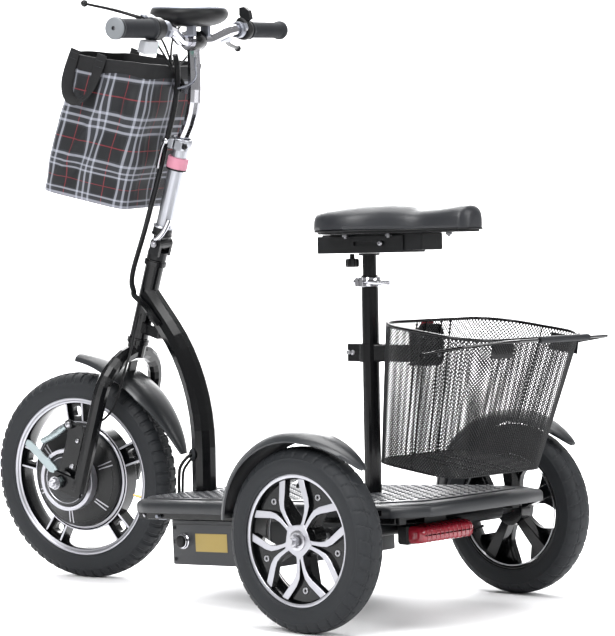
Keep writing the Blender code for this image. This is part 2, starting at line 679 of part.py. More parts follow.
def front_wheel():
    hub = empty("front_hub", STEER, (0, FRONT_AXLE_Y, FRONT_AXLE_Z))
    tyre = turned("front_tyre", tyre_profile(FRONT_TYRE_R, FRONT_RIM_R + GAP, FRONT_TYRE_HALF), 48)
    finish(tyre, hub, (0, 0, 0), ACROSS, TYRE_RUBBER)
    band = [(FRONT_RIM_R, 0.0265), (FRONT_RIM_R, -0.0265), (0.1530, -0.0265), (0.1470, -0.020)]
    band += [(0.1470, 0.020), (0.1530, 0.0265)]
    rim = turned("front_rim", band, 48)
    finish(rim, hub, (0, 0, 0), ACROSS, SATIN_ALUMINIUM)
    inner = ring("front_rim_ring", MOTOR_R + GAP, 0.1105, -0.014, 0.020, 40)
    finish(inner, hub, (0, 0, 0), ACROSS, cutter=True)
    boolean(rim, inner, "UNION")
    for i in range(5):
        angle = math.radians(72 * i + 61)
        block = box(f"rim_block_{i}", (0.1085, -0.0165, -0.012), (0.1490, 0.0165, 0.017))
        finish(block, rim, (0, 0, 0), (0, 0, angle), cutter=True)
        boolean(rim, block, "UNION")
    side = [(MOTOR_R, 0.031), (MOTOR_R, -0.031), (0.086, -0.040), (0.060, -0.047), (0.030, -0.050),
            (0.0262, -0.068),
            (0.0066, -0.068), (0.0066, 0.0545), (0.044, 0.0545), (0.060, 0.047), (0.086, 0.040)]
    motor = turned("hub_motor", side, 40)
    finish(motor, hub, (0, 0, 0), ACROSS, GLOSS_BLACK)
    drum = [(DRUM_R, 0.0705), (DRUM_R, 0.0500), (0.0590, 0.0480), (0.0560, 0.0495), (0.0530, 0.0540),
            (0.0530, 0.0705)]
    drum = [(DRUM_R, 0.0705), (DRUM_R, 0.0485), (0.0530, 0.0515), (0.0530, 0.0705)]
    finish(turned("brake_drum", drum, 32), hub, (0, 0, 0), ACROSS, SATIN_ALUMINIUM)
    disc = [(0.0522, 0.0700), (0.0522, 0.0560), (0.0066, 0.0560), (0.0066, 0.0790), (0.014, 0.0790),
            (0.016, 0.0730),
            (0.046, 0.0725)]
    brake = finish(
        turned("brake_plate", disc, 28), STEER, (0, FRONT_AXLE_Y, FRONT_AXLE_Z), ACROSS, GLOSS_BLACK
    )

    pivot = empty("brake_arm_pivot", STEER, (0.0755, -0.0810, -0.0050))
    arm = [(0.008, -0.005), (0.010, 0.003), (0.004, 0.0085), (-0.066, 0.0360), (-0.075, 0.0360),
           (-0.077, 0.0250)]
    arm = plate("brake_arm", arm + [(-0.006, -0.0075)], 0.004)
    arm = solid_mesh(finish(arm, pivot, (0, 0, 0), (math.radians(90), 0, math.radians(90))))
    arm.data.materials.append(ZINC)
    torque = box("torque_plate", (0.0722, -0.066, -0.010), (0.0755, -0.030, 0.1045), 0.001)
    finish(torque, STEER, cutter=True)
    boolean(brake, torque, "UNION")

    def half_at(t):
        return 0.047 * min(1.0, 0.62 + 2.0 * t, 0.35 + 1.8 * (1 - t))
    section = fender_section(half_at, 0.2465, 0.016, 0.0026)
    fender = swept("front_fender", (FRONT_AXLE_Y, FRONT_AXLE_Z), section, -23, 60, 14)
    finish(fender, STEER, look=GLOSS_BLACK)
    bracket = box("front_fender_bracket", (-0.012, -0.003, 0.2225), (0.012, 0.003, 0.2472))
    finish(bracket, STEER, cutter=True)
    boolean(fender, bracket, "UNION")


# ---- folding column, stem and handlebar ---------------------------------------------------------
def column():
    base_z = HEAD_HIGH + 0.0138
    lower = cylinder("fold_hinge_lower", 0.0195, (0, 0, base_z), (0, 0, 0.4715), 20)
    finish(lower, STEER, look=SATIN_BLACK)
    for side in (1, -1):
        corners = sorted((side * 0.0150, side * 0.0225))
        lug = box(f"fold_lug_{side}", (corners[0], FOLD_Y - 0.0115, 0.465), (corners[1], FOLD_Y + 0.0115,
            FOLD_Z))
        finish(lug, STEER, cutter=True)
        boolean(lower, lug, "UNION")
        cheek = cylinder(f"fold_cheek_{side}", 0.0120, (corners[0], FOLD_Y, FOLD_Z),
                         (corners[1], FOLD_Y, FOLD_Z), 20)
        finish(cheek, STEER, cutter=True)
        boolean(lower, cheek, "UNION")
    pin = cylinder("fold_pin", 0.0040, (-0.0255, FOLD_Y, FOLD_Z), (0.0255, FOLD_Y, FOLD_Z), 16)
    finish(pin, STEER, cutter=True)
    boolean(lower, pin, "UNION")

    pivot = empty("fold_axis", STEER, (0, FOLD_Y, FOLD_Z))
    back = (0, -FOLD_Y, -FOLD_Z)
    upper = cylinder("fold_hinge_upper", 0.0120, (-0.0147, FOLD_Y, FOLD_Z), (0.0147, FOLD_Y, FOLD_Z), 20)
    finish(upper, pivot, back, look=SATIN_BLACK)
    socket = cylinder("column_socket", 0.0195, (0, 0, 0.5045), (0, 0, COLUMN_LOW - GAP), 20)
    finish(socket, pivot, back, cutter=True)
    boolean(upper, socket, "UNION")
    web = box("fold_web", (-0.0120, -0.010, 0.488), (0.0120, 0.010, 0.508))
    finish(web, pivot, back, cutter=True)
    boolean(upper, web, "UNION")
    pin_room = cylinder("fold_pin_room", 0.0043, (-0.05, FOLD_Y, FOLD_Z), (0.05, FOLD_Y, FOLD_Z), 16)
    finish(pin_room, pivot, back, cutter=True)
    boolean(upper, pin_room, "DIFFERENCE")

    finish(ring("column_tube", 0.0131, COLUMN_R, COLUMN_LOW, COLUMN_HIGH, 20), pivot, back,
           look=SATIN_ALUMINIUM)
    sleeve = [(0.0190, 0.6625), (0.0200, 0.6605), (0.0200, 0.6420), (0.0190, 0.6400), (0.0158, 0.6400),
              (0.0158, 0.6625)]
    finish(turned("column_collar", sleeve, 20), pivot, back, look=PINK_PLASTIC)
    clamp = ring("stem_clamp", 0.0158, 0.0195, 0.6780, 0.7000, 20)
    finish(clamp, pivot, back, look=SATIN_ALUMINIUM)
    lug = box("stem_clamp_lug", (0.0175, -0.013, 0.6800), (0.0300, 0.020, 0.6980))
    finish(lug, pivot, back, cutter=True)
    boolean(clamp, lug, "UNION")
    hinge = empty("stem_lever_pivot", pivot, (0.0235, -0.0165 - FOLD_Y, 0.690 - FOLD_Z))
    lever = rod("stem_clamp_lever", [(0, 0, 0), (0.001, -0.008, -0.002), (0.0035, -0.0095, -0.018),
        (0.005, -0.0085, -0.054)],
                0.0040)
    finish(lever, hinge, look=CHROME)
    return pivot, back


def handlebar(pivot, back):
    path = [(0, 0, 0.535), (0, 0, 0.700), (0, 0.0035, 0.712), (0, 0.0068, 0.730), (0, 0.0078, 0.752),
            (0, 0.0062, 0.774),
            (0, 0.0015, 0.797), (0, -0.0085, 0.832), (0, -0.0225, 0.8760)]
    stem = solid_mesh(finish(rod("stem", path, STEM_R, 3), pivot, back))
    stem.data.materials.append(CHROME)
    centre_y, centre_z = -0.0240, 0.8870
    clamp = cylinder("bar_clamp", 0.0185, (-0.020, centre_y, centre_z), (0.020, centre_y, centre_z), 20)
    finish(clamp, pivot, back, cutter=True)
    boolean(stem, clamp, "UNION")
    hanger = box("bag_bracket", (-0.009, -0.0445, 0.7860), (0.009, -0.0060, 0.8000))
    finish(hanger, pivot, back, cutter=True)
    boolean(stem, hanger, "UNION")
    bar_hole = cylinder("bar_hole", BAR_R + GAP, (-0.05, centre_y, centre_z), (0.05, centre_y, centre_z), 20)
    finish(bar_hole, pivot, back, cutter=True)
    boolean(stem, bar_hole, "DIFFERENCE")
    half = [(0, centre_y, centre_z), (0.024, centre_y, centre_z), (0.050, -0.0225, 0.8885),
            (0.074, -0.0185, 0.8985),
            (0.097, -0.0145, 0.9080), (0.118, GRIP_Y, GRIP_Z), (0.292, GRIP_Y, GRIP_Z)]
    path = [(-x, y, z) for x, y, z in reversed(half[1:])] + half
    finish(rod("handlebar", path, BAR_R, 3), pivot, back, look=CHROME)

    for side, label in ((1, "left"), (-1, "right")):
        wide = 0.0178 if side > 0 else 0.0158
        inner = 0.1735 if side > 0 else 0.1640
        grip = turned(f"grip_{label}", [(0.0130, 0.2955), (wide + 0.002, 0.2925), (wide + 0.002, 0.2860),
            (wide, 0.2835),
                                        (wide, inner + 0.008), (wide + 0.0015,
                                                                inner + 0.006), (wide + 0.0015, inner),
                                        (BAR_R + GAP, inner), (BAR_R + GAP, 0.2925), (0, 0.2925), (0,
                                            0.2955)][::1], 20)
        finish(grip, pivot, (0, GRIP_Y - FOLD_Y, GRIP_Z - FOLD_Z), (0, side * math.radians(90), 0),
               GRIP_RUBBER)
        brake_lever(pivot, back, side, label)
    switch = cylinder("switch_pod", 0.0215, (0.1500, 0, 0), (0.1730, 0, 0), 20)
    finish(switch, pivot, (0, GRIP_Y - FOLD_Y, GRIP_Z - FOLD_Z), look=BLACK_PLASTIC)
    block = box("switch_block", (0.1625, 0.0020, -0.0430), (0.2090, 0.0190, -0.0205), 0.002)
    finish(block, pivot, (0, GRIP_Y - FOLD_Y, GRIP_Z - FOLD_Z), cutter=True)
    boolean(switch, block, "UNION")
    bar_room = cylinder("switch_bar_room", BAR_R + GAP, (0.14, 0, 0), (0.2, 0, 0), 20)
    finish(bar_room, pivot, (0, GRIP_Y - FOLD_Y, GRIP_Z - FOLD_Z), cutter=True)
    boolean(switch, bar_room, "DIFFERENCE")
    throttle = ring("throttle_housing", BAR_R + GAP, 0.0190, 0.1440, 0.1600, 20)
    finish(throttle, pivot, (0, GRIP_Y - FOLD_Y, GRIP_Z - FOLD_Z), (0, math.radians(-90), 0), BLACK_PLASTIC)
    paddle = plate("thumb_throttle", [(0.0195, -0.005), (0.0255, -0.012), (0.0400, -0.004), (0.0445, 0.008),
        (0.0400, 0.018),
                                      (0.0260, 0.014), (0.0195, 0.006)], 0.012)
    throttle_axis = empty("throttle_axis", pivot, (-0.152, GRIP_Y - FOLD_Y, GRIP_Z - FOLD_Z))
    paddle = solid_mesh(finish(paddle, throttle_axis, (0, 0, 0), (math.radians(90), math.radians(-90),
        math.radians(90))))
    paddle.data.materials.append(BLACK_PLASTIC)


def brake_lever(pivot, back, side, label):
    """The perch and the lever are drawn for +X with the lever straight ahead, then rolled round the bar."""
    roll = math.radians(-14 if side > 0 else 38)
    place = (0, GRIP_Y - FOLD_Y, GRIP_Z - FOLD_Z)
    roller = empty(f"lever_mount_{label}", pivot, place, (roll, 0, 0))
    mirror = Matrix.Diagonal((side, 1, 1, 1))
    band = ring(f"perch_{label}", BAR_R + GAP, 0.0158, side * 0.132 - 0.0065, side * 0.132 + 0.0065, 20)
    finish(band, roller, (0, 0, 0), ACROSS, SATIN_ALUMINIUM)
    corners = sorted((side * 0.1225, side * 0.1415))
    body = box(f"perch_body_{label}", (corners[0], -0.0440, -0.0075), (corners[1], -0.0135, 0.0075))
    finish(body, roller, cutter=True)
    boolean(band, body, "UNION")
    joint = empty(f"lever_pivot_{label}", roller, (side * 0.1490, -0.0370, 0))
    points = [(0.0, 0.0, 0.0), (0.020, -0.016, 0.0), (0.050, -0.033, 0.0), (0.090, -0.047, 0.0),
              (0.122, -0.057, 0.0)]
    path = [tuple(mirror @ Vector(point)) for point in points]
    finish(rod(f"brake_lever_{label}", path, 0.0052), joint,
           look=SATIN_BLACK if side < 0 else SATIN_ALUMINIUM)


def display(pivot):
    place = (0, -0.0466 - FOLD_Y, 0.9325 - FOLD_Z)
    tilt = (math.radians(14.8), 0, 0)
    body = [(0, 0.0125), (0.0640, 0.0125), (0.0725, 0.0085), (0.0755, 0.0020), (0.0715, -0.0090),
            (0.0560, -0.0185),
            (0.0300, -0.0235), (0, -0.0235)]
    finish(turned("display_housing", body, 32), pivot, place, tilt, BLACK_PLASTIC)
    lens = [(0, 0.0190), (0.030, 0.0183), (0.050, 0.0160), (0.0630, 0.0128), (0, 0.0128)]
    finish(turned("display_lens", lens, 32), pivot, place, tilt, CLEAR_LENS)


# ---- front bag and harness ----------------------------------------------------------------------
def bag(pivot, back):
    """An open soft bag ahead of the stem: rings from the floor up outside, then down inside."""
    thick = 0.004
    levels = ((0.086, -0.236, -0.046, 0.532, 0.549), (0.094, -0.240, -0.046, 0.60, 0.617),
              (0.099, -0.236, -0.046, 0.70, 0.717),
              (0.101, -0.234, -0.046, 0.805, 0.829))
    rings = []
    for inset in (0.0, thick):
        order = levels if inset == 0 else levels[::-1]
        for half, front, rear, front_z, rear_z in order:
            ring_points = rounded_outline(half - inset, front + inset, rear - inset, 0.022 - inset, 2)
            low = inset if (front_z, rear_z) == levels[0][3:] else 0
            rings.append([
                (x, y,
                 front_z + (rear_z - front_z) * (y - front) / (rear - front) + low) for x, y in ring_points
            ])
    finish(loft("front_bag", rings), pivot, back, look=PLAID_CLOTH)


HARNESS_R = 0.0058


def harness(pivot, back):
    upper = [(0.0300, -0.0400, 0.8560), (0.0240, -0.0345, 0.8350), (0.0215, -0.0310, 0.8100),
             (0.0200, -0.0285, 0.7850)]
    upper += [(0.0170, -0.0255, 0.7550), (0.0140, -0.0260, 0.7250), (0.0130, -0.0270, 0.6900),
              (0.0125, -0.0270, 0.6500)]
    upper += [(0.0125, -0.0280, 0.6000), (0.0125, -0.0300, 0.5550), (0.0130, -0.0310, 0.5200)]
    finish(rod("harness_upper", upper, HARNESS_R), pivot, back, look=BLACK_PLASTIC)
    lower = [(0.0130, -0.0312, 0.5165), (0.0135, -0.0330, 0.4850), (0.0160, -0.0340, 0.4550),
             (0.0200, -0.0335, 0.4250)]
    lower += [(0.0250, -0.0280, 0.4000), (0.0310, -0.0150, 0.3860)]
    finish(rod("harness_lower", lower, HARNESS_R), STEER, look=BLACK_PLASTIC)
    tail = [(0.0335, 0.0180, 0.3735), (0.0322, 0.0290, 0.3690), (0.0310, 0.0400, 0.3625),
            (0.0312, 0.0580, 0.3530)]
    finish(rod("harness_tail", tail, HARNESS_R), HEAD, look=BLACK_PLASTIC)
    cable = [(0.0335, 0.0080, 0.3100), (0.0350, 0.0100, 0.2850), (0.0440, 0.0150, 0.2650),
             (0.0545, 0.0190, 0.2450)]
    cable += [(0.0575, 0.0195, 0.2200), (0.0600, 0.0195, 0.1850), (0.0650, 0.0180, 0.1600),
              (0.0690, 0.0110, 0.1400)]
    cable += [(0.0740, 0.0000, 0.1250), (0.0780, -0.0200, 0.1120), (0.0785, -0.0450, 0.1040),
              (0.0785, -0.0590, 0.1000)]
    finish(rod("brake_cable", cable, 0.0022), STEER, look=BLACK_PLASTIC)


# ---- build --------------------------------------------------------------------------------------
main_frame()
deck()
battery_box()
rear_axle()
rear_fenders()
tail_light()
seat()
basket()
fork()
front_wheel()
COLUMN_PIVOT, COLUMN_BACK = column()
handlebar(COLUMN_PIVOT, COLUMN_BACK)
display(COLUMN_PIVOT)
bag(COLUMN_PIVOT, COLUMN_BACK)
harness(COLUMN_PIVOT, COLUMN_BACK)
bpy.context.view_layer.update()
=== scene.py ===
"""Looks for the seated electric trike scooter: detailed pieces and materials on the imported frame."""

import math

import bmesh
import bpy
import numpy as np
from mathutils import Matrix, Vector


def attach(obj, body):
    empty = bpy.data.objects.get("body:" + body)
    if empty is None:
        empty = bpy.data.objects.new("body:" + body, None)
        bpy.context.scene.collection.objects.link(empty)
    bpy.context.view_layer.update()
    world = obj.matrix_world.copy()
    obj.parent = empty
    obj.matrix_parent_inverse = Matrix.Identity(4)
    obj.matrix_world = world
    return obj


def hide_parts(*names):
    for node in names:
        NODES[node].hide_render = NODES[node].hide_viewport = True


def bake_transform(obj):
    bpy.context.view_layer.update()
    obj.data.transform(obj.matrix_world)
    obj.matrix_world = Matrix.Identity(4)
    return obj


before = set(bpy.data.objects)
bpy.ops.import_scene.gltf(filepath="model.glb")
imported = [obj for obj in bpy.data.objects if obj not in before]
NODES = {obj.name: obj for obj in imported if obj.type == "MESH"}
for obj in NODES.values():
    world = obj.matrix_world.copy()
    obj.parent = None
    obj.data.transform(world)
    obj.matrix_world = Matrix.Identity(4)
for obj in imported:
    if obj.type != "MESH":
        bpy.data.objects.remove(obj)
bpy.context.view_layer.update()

def shift(x, y, z):
    return Matrix.Translation((x, y, z))


def rotation(axis, degrees):
    return Matrix.Rotation(math.radians(degrees), 4, axis)


# ---- the frames that part.py builds on, metres and radians --------------------------------------
AXLE_Y = 0.358
AXLE_Z = 0.158
HALF_TRACK = 0.2959
HEAD_ANGLE = math.radians(19.0)
STEER_REST = math.radians(12.03)
DECK_SLOPE = math.atan(0.042)
BASE = shift(0, AXLE_Y, 0)
DECK = BASE @ shift(0, 0, 0.2128) @ Matrix.Rotation(DECK_SLOPE, 4, "X")
HEAD = BASE @ shift(0, -0.7911, 0.207) @ Matrix.Rotation(-HEAD_ANGLE, 4, "X")
STEER = HEAD @ Matrix.Rotation(STEER_REST, 4, "Z")
ACROSS = rotation("Y", 90)
HUB_AT = (-0.0498, -0.0172)  # the front hub in the steering frame, Y and Z
FRONT_HUB = STEER @ shift(0, *HUB_AT) @ ACROSS
BASKET = BASE @ shift(0, 0.0125, 0.279) @ rotation("X", -8)
GRIP_Y = -0.0118
GRIP_Z = 0.9125
SEAT_AT = -0.0985  # the seat post, ahead of the rear axle
TUBE_AT = -0.5225  # the down tube's foot


def fresh(name):
    """A new material with its node tree and its shader."""
    made = bpy.data.materials.new(name)
    made.use_nodes = True
    return made, made.node_tree, made.node_tree.nodes["Principled BSDF"]


def settle(tree, node, values):
    """Sets a node's inputs: a socket is linked, and anything else is a fixed value."""
    for key, value in values.items():
        if isinstance(value, bpy.types.NodeSocket):
            tree.links.new(value, node.inputs[key])
        else:
            node.inputs[key].default_value = value
    return node


def add(tree, kind, values=None):
    return settle(tree, tree.nodes.new("ShaderNode" + kind), values or {})


def mixed(tree, under, over, factor):
    """A colour laid over another by a factor."""
    node = tree.nodes.new("ShaderNodeMix")
    node.data_type = "RGBA"
    return settle(tree, node, {0: factor, 6: under, 7: over}).outputs[2]


def bumped(tree, shader, height, strength, distance):
    bump = add(tree, "Bump", {"Strength": strength, "Distance": distance, "Height": height})
    settle(tree, shader, {"Normal": bump.outputs["Normal"]})


def look(name, colour, rough, metal=0.0, grain=(400.0, 0.05), tint=0.15, patch=12.0, spread=0.08,
         coat=0.0, specular=0.5):
    """A surface whose colour and roughness vary softly in patches.

    grain is the scale and strength of its bump."""
    made, tree, shader = fresh(name)
    settle(tree, shader, {"Metallic": metal, "Coat Weight": coat, "Coat Roughness": 0.08,
        "Specular IOR Level": specular})
    place = add(tree, "TexCoord").outputs["Object"]
    cloud = add(tree, "TexNoise", {"Scale": patch, "Detail": 5.0, "Vector": place}).outputs["Fac"]
    darker = (*[c * (1 - tint) for c in colour], 1)
    paler = (*[min(1, c * (1 + tint)) for c in colour], 1)
    span = add(tree, "MapRange", {"To Min": max(0.02, rough - spread), "To Max": min(1.0, rough + spread),
        "Value": cloud})
    settle(tree, shader, {"Base Color": mixed(tree, darker, paler, cloud),
        "Roughness": span.outputs["Result"]})
    fine = add(tree, "TexNoise", {"Scale": grain[0], "Detail": 3.0, "Vector": place})
    bumped(tree, shader, fine.outputs["Fac"], grain[1], 0.0005)
    return made


GLOSS = look("gloss_black_paint", (0.0016, 0.0018, 0.0022), 0.22, coat=0.18, specular=0.22,
             grain=(900.0, 0.02), tint=0.2)
MOTOR = look("motor_black", (0.0035, 0.0038, 0.0042), 0.36, specular=0.35,
             grain=(700.0, 0.15), tint=0.2)
SATIN = look("satin_black_paint", (0.0036, 0.004, 0.0047), 0.38, specular=0.26,
             grain=(900.0, 0.1), tint=0.25)
STEEL_GREY = look("dark_grey_steel", (0.0125, 0.0135, 0.0155), 0.42, specular=0.38,
    grain=(600.0, 0.25), tint=0.15)
PLASTIC = look("black_plastic", (0.0034, 0.0037, 0.0043), 0.44, specular=0.24,
    grain=(1400.0, 0.25), tint=0.15)
FENDER = look("fender_plastic", (0.0085, 0.0096, 0.0112), 0.34, specular=0.42, grain=(1600.0, 0.12),
              tint=0.12)
SHELL = look("deck_plastic", (0.0105, 0.0118, 0.0138), 0.38, specular=0.42,
             grain=(1200.0, 0.22), tint=0.15)
MAT = look("mat_rubber", (0.0085, 0.0092, 0.0108), 0.34, specular=0.48, grain=(1000.0, 0.3),
           tint=0.2)
RUBBER = look("tyre_rubber", (0.0105, 0.0118, 0.0138), 0.6, specular=0.26, grain=(900.0, 0.35),
              tint=0.2, patch=30.0)
GRIP = look("grip_rubber", (0.01, 0.011, 0.0135), 0.62, specular=0.22, grain=(1500.0, 0.4),
            tint=0.1)
GRIP_END = look("grip_end_rubber", (0.13, 0.14, 0.15), 0.6, grain=(900.0, 0.2), tint=0.1)
CHROME = look("chrome", (0.5, 0.5, 0.53), 0.12, 1.0, grain=(700.0, 0.01), tint=0.03, spread=0.04)
ALLOY = look("satin_aluminium", (0.38, 0.39, 0.42), 0.36, 1.0, grain=(1200.0, 0.06),
             tint=0.05)
MACHINED = look("machined_alloy", (0.4, 0.4, 0.43), 0.36, 0.85, grain=(1500.0, 0.05),
    tint=0.05)
CAST = look("cast_grey", (0.2, 0.21, 0.24), 0.42, 0.7, grain=(800.0, 0.2), tint=0.12)
ZINC = look("zinc_plate", (0.3, 0.35, 0.36), 0.36, 0.9, grain=(500.0, 0.25), tint=0.12)
ROSE = look("rose_plastic", (0.42, 0.165, 0.225), 0.45, grain=(900.0, 0.15), tint=0.08)
RED = look("red_lens", (0.26, 0.01, 0.022), 0.16, coat=0.3, grain=(90.0, 0.5), tint=0.35,
           patch=60.0)
DARK_LENS = look("dark_lens", (0.0012, 0.0012, 0.0015), 0.1, coat=0.15, specular=0.22,
    grain=(200.0, 0.0), tint=0.1)
WHITE = look("white_plastic", (0.34, 0.35, 0.37), 0.4, grain=(900.0, 0.1), tint=0.06)
GREEN = look("green_plastic", (0.01, 0.24, 0.15), 0.35, grain=(900.0, 0.1), tint=0.1)
LABEL = look("blank_label", (0.24, 0.175, 0.045), 0.55, grain=(800.0, 0.1), tint=0.12,
             patch=25.0)
BRASS = look("brass", (0.55, 0.33, 0.12), 0.35, 1.0, tint=0.1)
VINYL = look("saddle_vinyl", (0.0085, 0.0094, 0.012), 0.4, specular=0.4, grain=(700.0, 0.5),
             tint=0.12, patch=18.0)
WEB = look("black_webbing", (0.007, 0.0072, 0.008), 0.75, specular=0.25, grain=(600.0, 0.8),
           tint=0.3, patch=80.0)
MESH_LOOK = look("black_wire_mesh", (0.004, 0.0044, 0.0052), 0.42, specular=0.26,
    grain=(900.0, 0.2), tint=0.2)
BOLT = look("zinc_bolt", (0.4, 0.4, 0.42), 0.3, 1.0, grain=(700.0, 0.1), tint=0.08)


def painted_edge_highlight(material, colour, amount=0.6):
    """Mixes a paler colour in along convex edges, using the surface's pointiness: a painted highlight where
    light catches the edges.
    """
    tree = material.node_tree
    shader = tree.nodes["Principled BSDF"]
    base = shader.inputs["Base Color"].links[0].from_socket
    convex_edge = add(tree, "NewGeometry").outputs["Pointiness"]
    # the painted highlight's mask: strongest on the sharpest convex edges
    edge = add(tree, "MapRange", {"From Min": 0.53, "From Max": 0.62, "To Max": amount, "Value": convex_edge})
    settle(tree, shader, {"Base Color": mixed(tree, base, (*colour, 1), edge.outputs["Result"])})


# painted highlights: paler convex edges on the tyre tread, the mat's raised dashes and the fenders' edges
painted_edge_highlight(RUBBER, (0.026, 0.028, 0.032))
painted_edge_highlight(MAT, (0.045, 0.048, 0.055), 0.8)
painted_edge_highlight(FENDER, (0.024, 0.027, 0.031))


STRIPES_AT = (0.015, 0.0285, 0.042)  # the white stripes' places in a repeat, metres
REPEATS = ((0.09, 0.006), (0.086, 0.026))  # the check's repeat and its offset, across and along


def plaid():
    """Woven black, charcoal, white and red checks, from the cloth's own metres in its UV map."""
    made, tree, shader = fresh("plaid_cloth")
    settle(tree, shader, {"Roughness": 0.62, "Specular IOR Level": 0.25, "Sheen Weight": 0.04})
    uv = add(tree, "UVMap")
    uv.uv_map = "cloth"
    split = add(tree, "SeparateXYZ", {0: uv.outputs["UV"]})

    def worked(kind, *values):
        node = tree.nodes.new("ShaderNodeMath")
        node.operation = kind
        return settle(tree, node, dict(enumerate(values))).outputs[0]

    def stripe(position, centre, half):
        """1 inside a stripe of the repeat, softly falling to 0 at its edge."""
        off = worked("ABSOLUTE", worked("SUBTRACT", position, centre))
        band = worked("MULTIPLY_ADD", off, -1 / 0.0012, half / 0.0012 + 0.5)
        return worked("MINIMUM", worked("MAXIMUM", band, 0.0), 1.0)

    def stripes(axis, repeat, offset):
        share = worked("FRACT", worked("DIVIDE", worked("ADD", axis, offset), repeat))
        position = worked("MULTIPLY", share, repeat)
        white = stripe(position, STRIPES_AT[0], 0.0021)
        for centre in STRIPES_AT[1:]:
            white = worked("MAXIMUM", white, stripe(position, centre, 0.0021))
        middle = STRIPES_AT[1]
        return white, stripe(position, middle, 0.019), stripe(position, repeat * 0.5 + middle, 0.0007)

    across = stripes(split.outputs["X"], *REPEATS[0])
    along = stripes(split.outputs["Y"], *REPEATS[1])
    weave = add(tree, "TexNoise", {"Scale": 900.0, "Vector": uv.outputs["UV"]}).outputs["Fac"]
    white = worked("POWER", worked("MULTIPLY", worked("ADD", across[0], along[0]), 0.5), 0.75)
    grey = worked("MULTIPLY", worked("ADD", across[1], along[1]), 0.5)
    red = worked("MAXIMUM", across[2], along[2])
    speckle = worked("MULTIPLY_ADD", weave, 0.5, 0.75)
    paint = mixed(tree, (0.0062, 0.0068, 0.0085, 1), (0.026, 0.028, 0.033, 1), grey)
    paint = mixed(tree, paint, (0.2, 0.022, 0.03, 1), worked("MULTIPLY", red, 0.75))
    paint = mixed(tree, paint, (0.27, 0.28, 0.32, 1), worked("MULTIPLY", white, speckle))
    settle(tree, shader, {"Base Color": paint})
    bumped(tree, shader, weave, 0.25, 0.0004)
    return made


PLAID = plaid()


# ---- shapes -------------------------------------------------------------------------------------
def piece(name, shell, place, body, looks, replaces=(), smooth=38, bevel=0.0, subdivide=0,
          pick=None, bend=None):
    """Makes an object from (points, faces), or from a list of such shells, that rides on a body.

    If bend is given, as (the other body, start, end), the place is baked into the mesh and the piece rides
    on no body; nothing is bent. pick chooses a material index for each face."""
    looks = looks if isinstance(looks, list) else [looks]
    points, faces = joined(*shell) if isinstance(shell, list) else shell
    mesh = bpy.data.meshes.new(name)
    mesh.from_pydata([tuple(p) for p in points], [], [tuple(f) for f in faces])
    for one in looks:
        mesh.materials.append(one)
    bm = bmesh.new()
    bm.from_mesh(mesh)
    bmesh.ops.recalc_face_normals(bm, faces=bm.faces)
    if pick:
        bm.normal_update()
        for face in bm.faces:
            face.material_index = pick(face)
    bm.to_mesh(mesh)
    bm.free()
    mesh.transform(place)
    mesh.shade_smooth()
    mesh.set_sharp_from_angle(angle=math.radians(smooth))
    made = bpy.data.objects.new(name, mesh)
    bpy.context.scene.collection.objects.link(made)
    if bevel:
        rounding = made.modifiers.new("rounding", "BEVEL")
        rounding.width = bevel
        rounding.segments = 2
        rounding.limit_method = "ANGLE"
        rounding.angle_limit = math.radians(35)
    if subdivide:
        finer = made.modifiers.new("finer", "SUBSURF")
        finer.levels = finer.render_levels = subdivide
    if bend:
        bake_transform(made)
    else:
        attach(made, body)
    if replaces:
        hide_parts(*replaces)
    return made


def hardware(name, shells, place, body):
    """Screws and nuts on a body, as one piece."""
    return piece(name, shells, place, body, BOLT, smooth=30)


def joined(*shells):
    """Several shells as one."""
    points, faces = [], []
    for more, sides in shells:
        start = len(points)
        points.extend(more)
        faces.extend([tuple(i + start for i in side) for side in sides])
    return points, faces


def moved(shell, matrix):
    return [matrix @ Vector(p) for p in shell[0]], shell[1]


def aimed(place, direction):
    """The matrix that stands a shape at a place, with its Z along a direction."""
    return Matrix.Translation(place) @ Vector(direction).to_track_quat("Z", "Y").to_matrix().to_4x4()


def grid_faces(rows, columns, wrap_rows=False):
    """Quads between rows of points; each row is a ring, and wrap_rows joins the last row to the first."""
    faces = []
    for i in range(rows if wrap_rows else rows - 1):
        for j in range(columns):
            low, high = i * columns, ((i + 1) % rows) * columns
            k = (j + 1) % columns
            faces.append((low + j, low + k, high + k, high + j))
    return faces


def circle(count):
    """Angles spread evenly over a turn."""
    return [2 * math.pi * i / count for i in range(count)]


def lathe(profile, steps=64, whole=True):
    """(radius, height) points turned about Z; whole joins the last point to the first."""
    points = [(r * math.cos(a), r * math.sin(a), z) for r, z in profile for a in circle(steps)]
    if whole:
        return points, grid_faces(len(profile), steps, wrap_rows=True)
    return points, capped_faces(len(profile), steps)


def capped_faces(rows, columns):
    """The faces of a row of rings, with the first and the last ring closed."""
    last = (rows - 1) * columns
    return grid_faces(rows, columns) + [tuple(range(columns)), tuple(range(last, last + columns))]


def loft(rings):
    """A closed shell over rings of equal length, with the first and the last ring closed."""
    return [tuple(p) for ring in rings for p in ring], capped_faces(len(rings), len(rings[0]))


def smooth_path(points, per=6):
    """A finer path on a Catmull-Rom curve through the points."""
    p = [Vector(q) for q in points]
    p = [p[0] * 2 - p[1]] + p + [p[-1] * 2 - p[-2]]
    path = []
    for i in range(1, len(p) - 2):
        before, start, end, after = p[i - 1], p[i], p[i + 1], p[i + 2]
        for k in range(per):
            t = k / per
            bend = (2 * before - 5 * start + 4 * end - after) * t * t
            path.append(0.5 * (2 * start + (end - before) * t + bend + (3 * start - before - 3 * end
                + after) * t ** 3))
    path.append(p[-2])
    return path


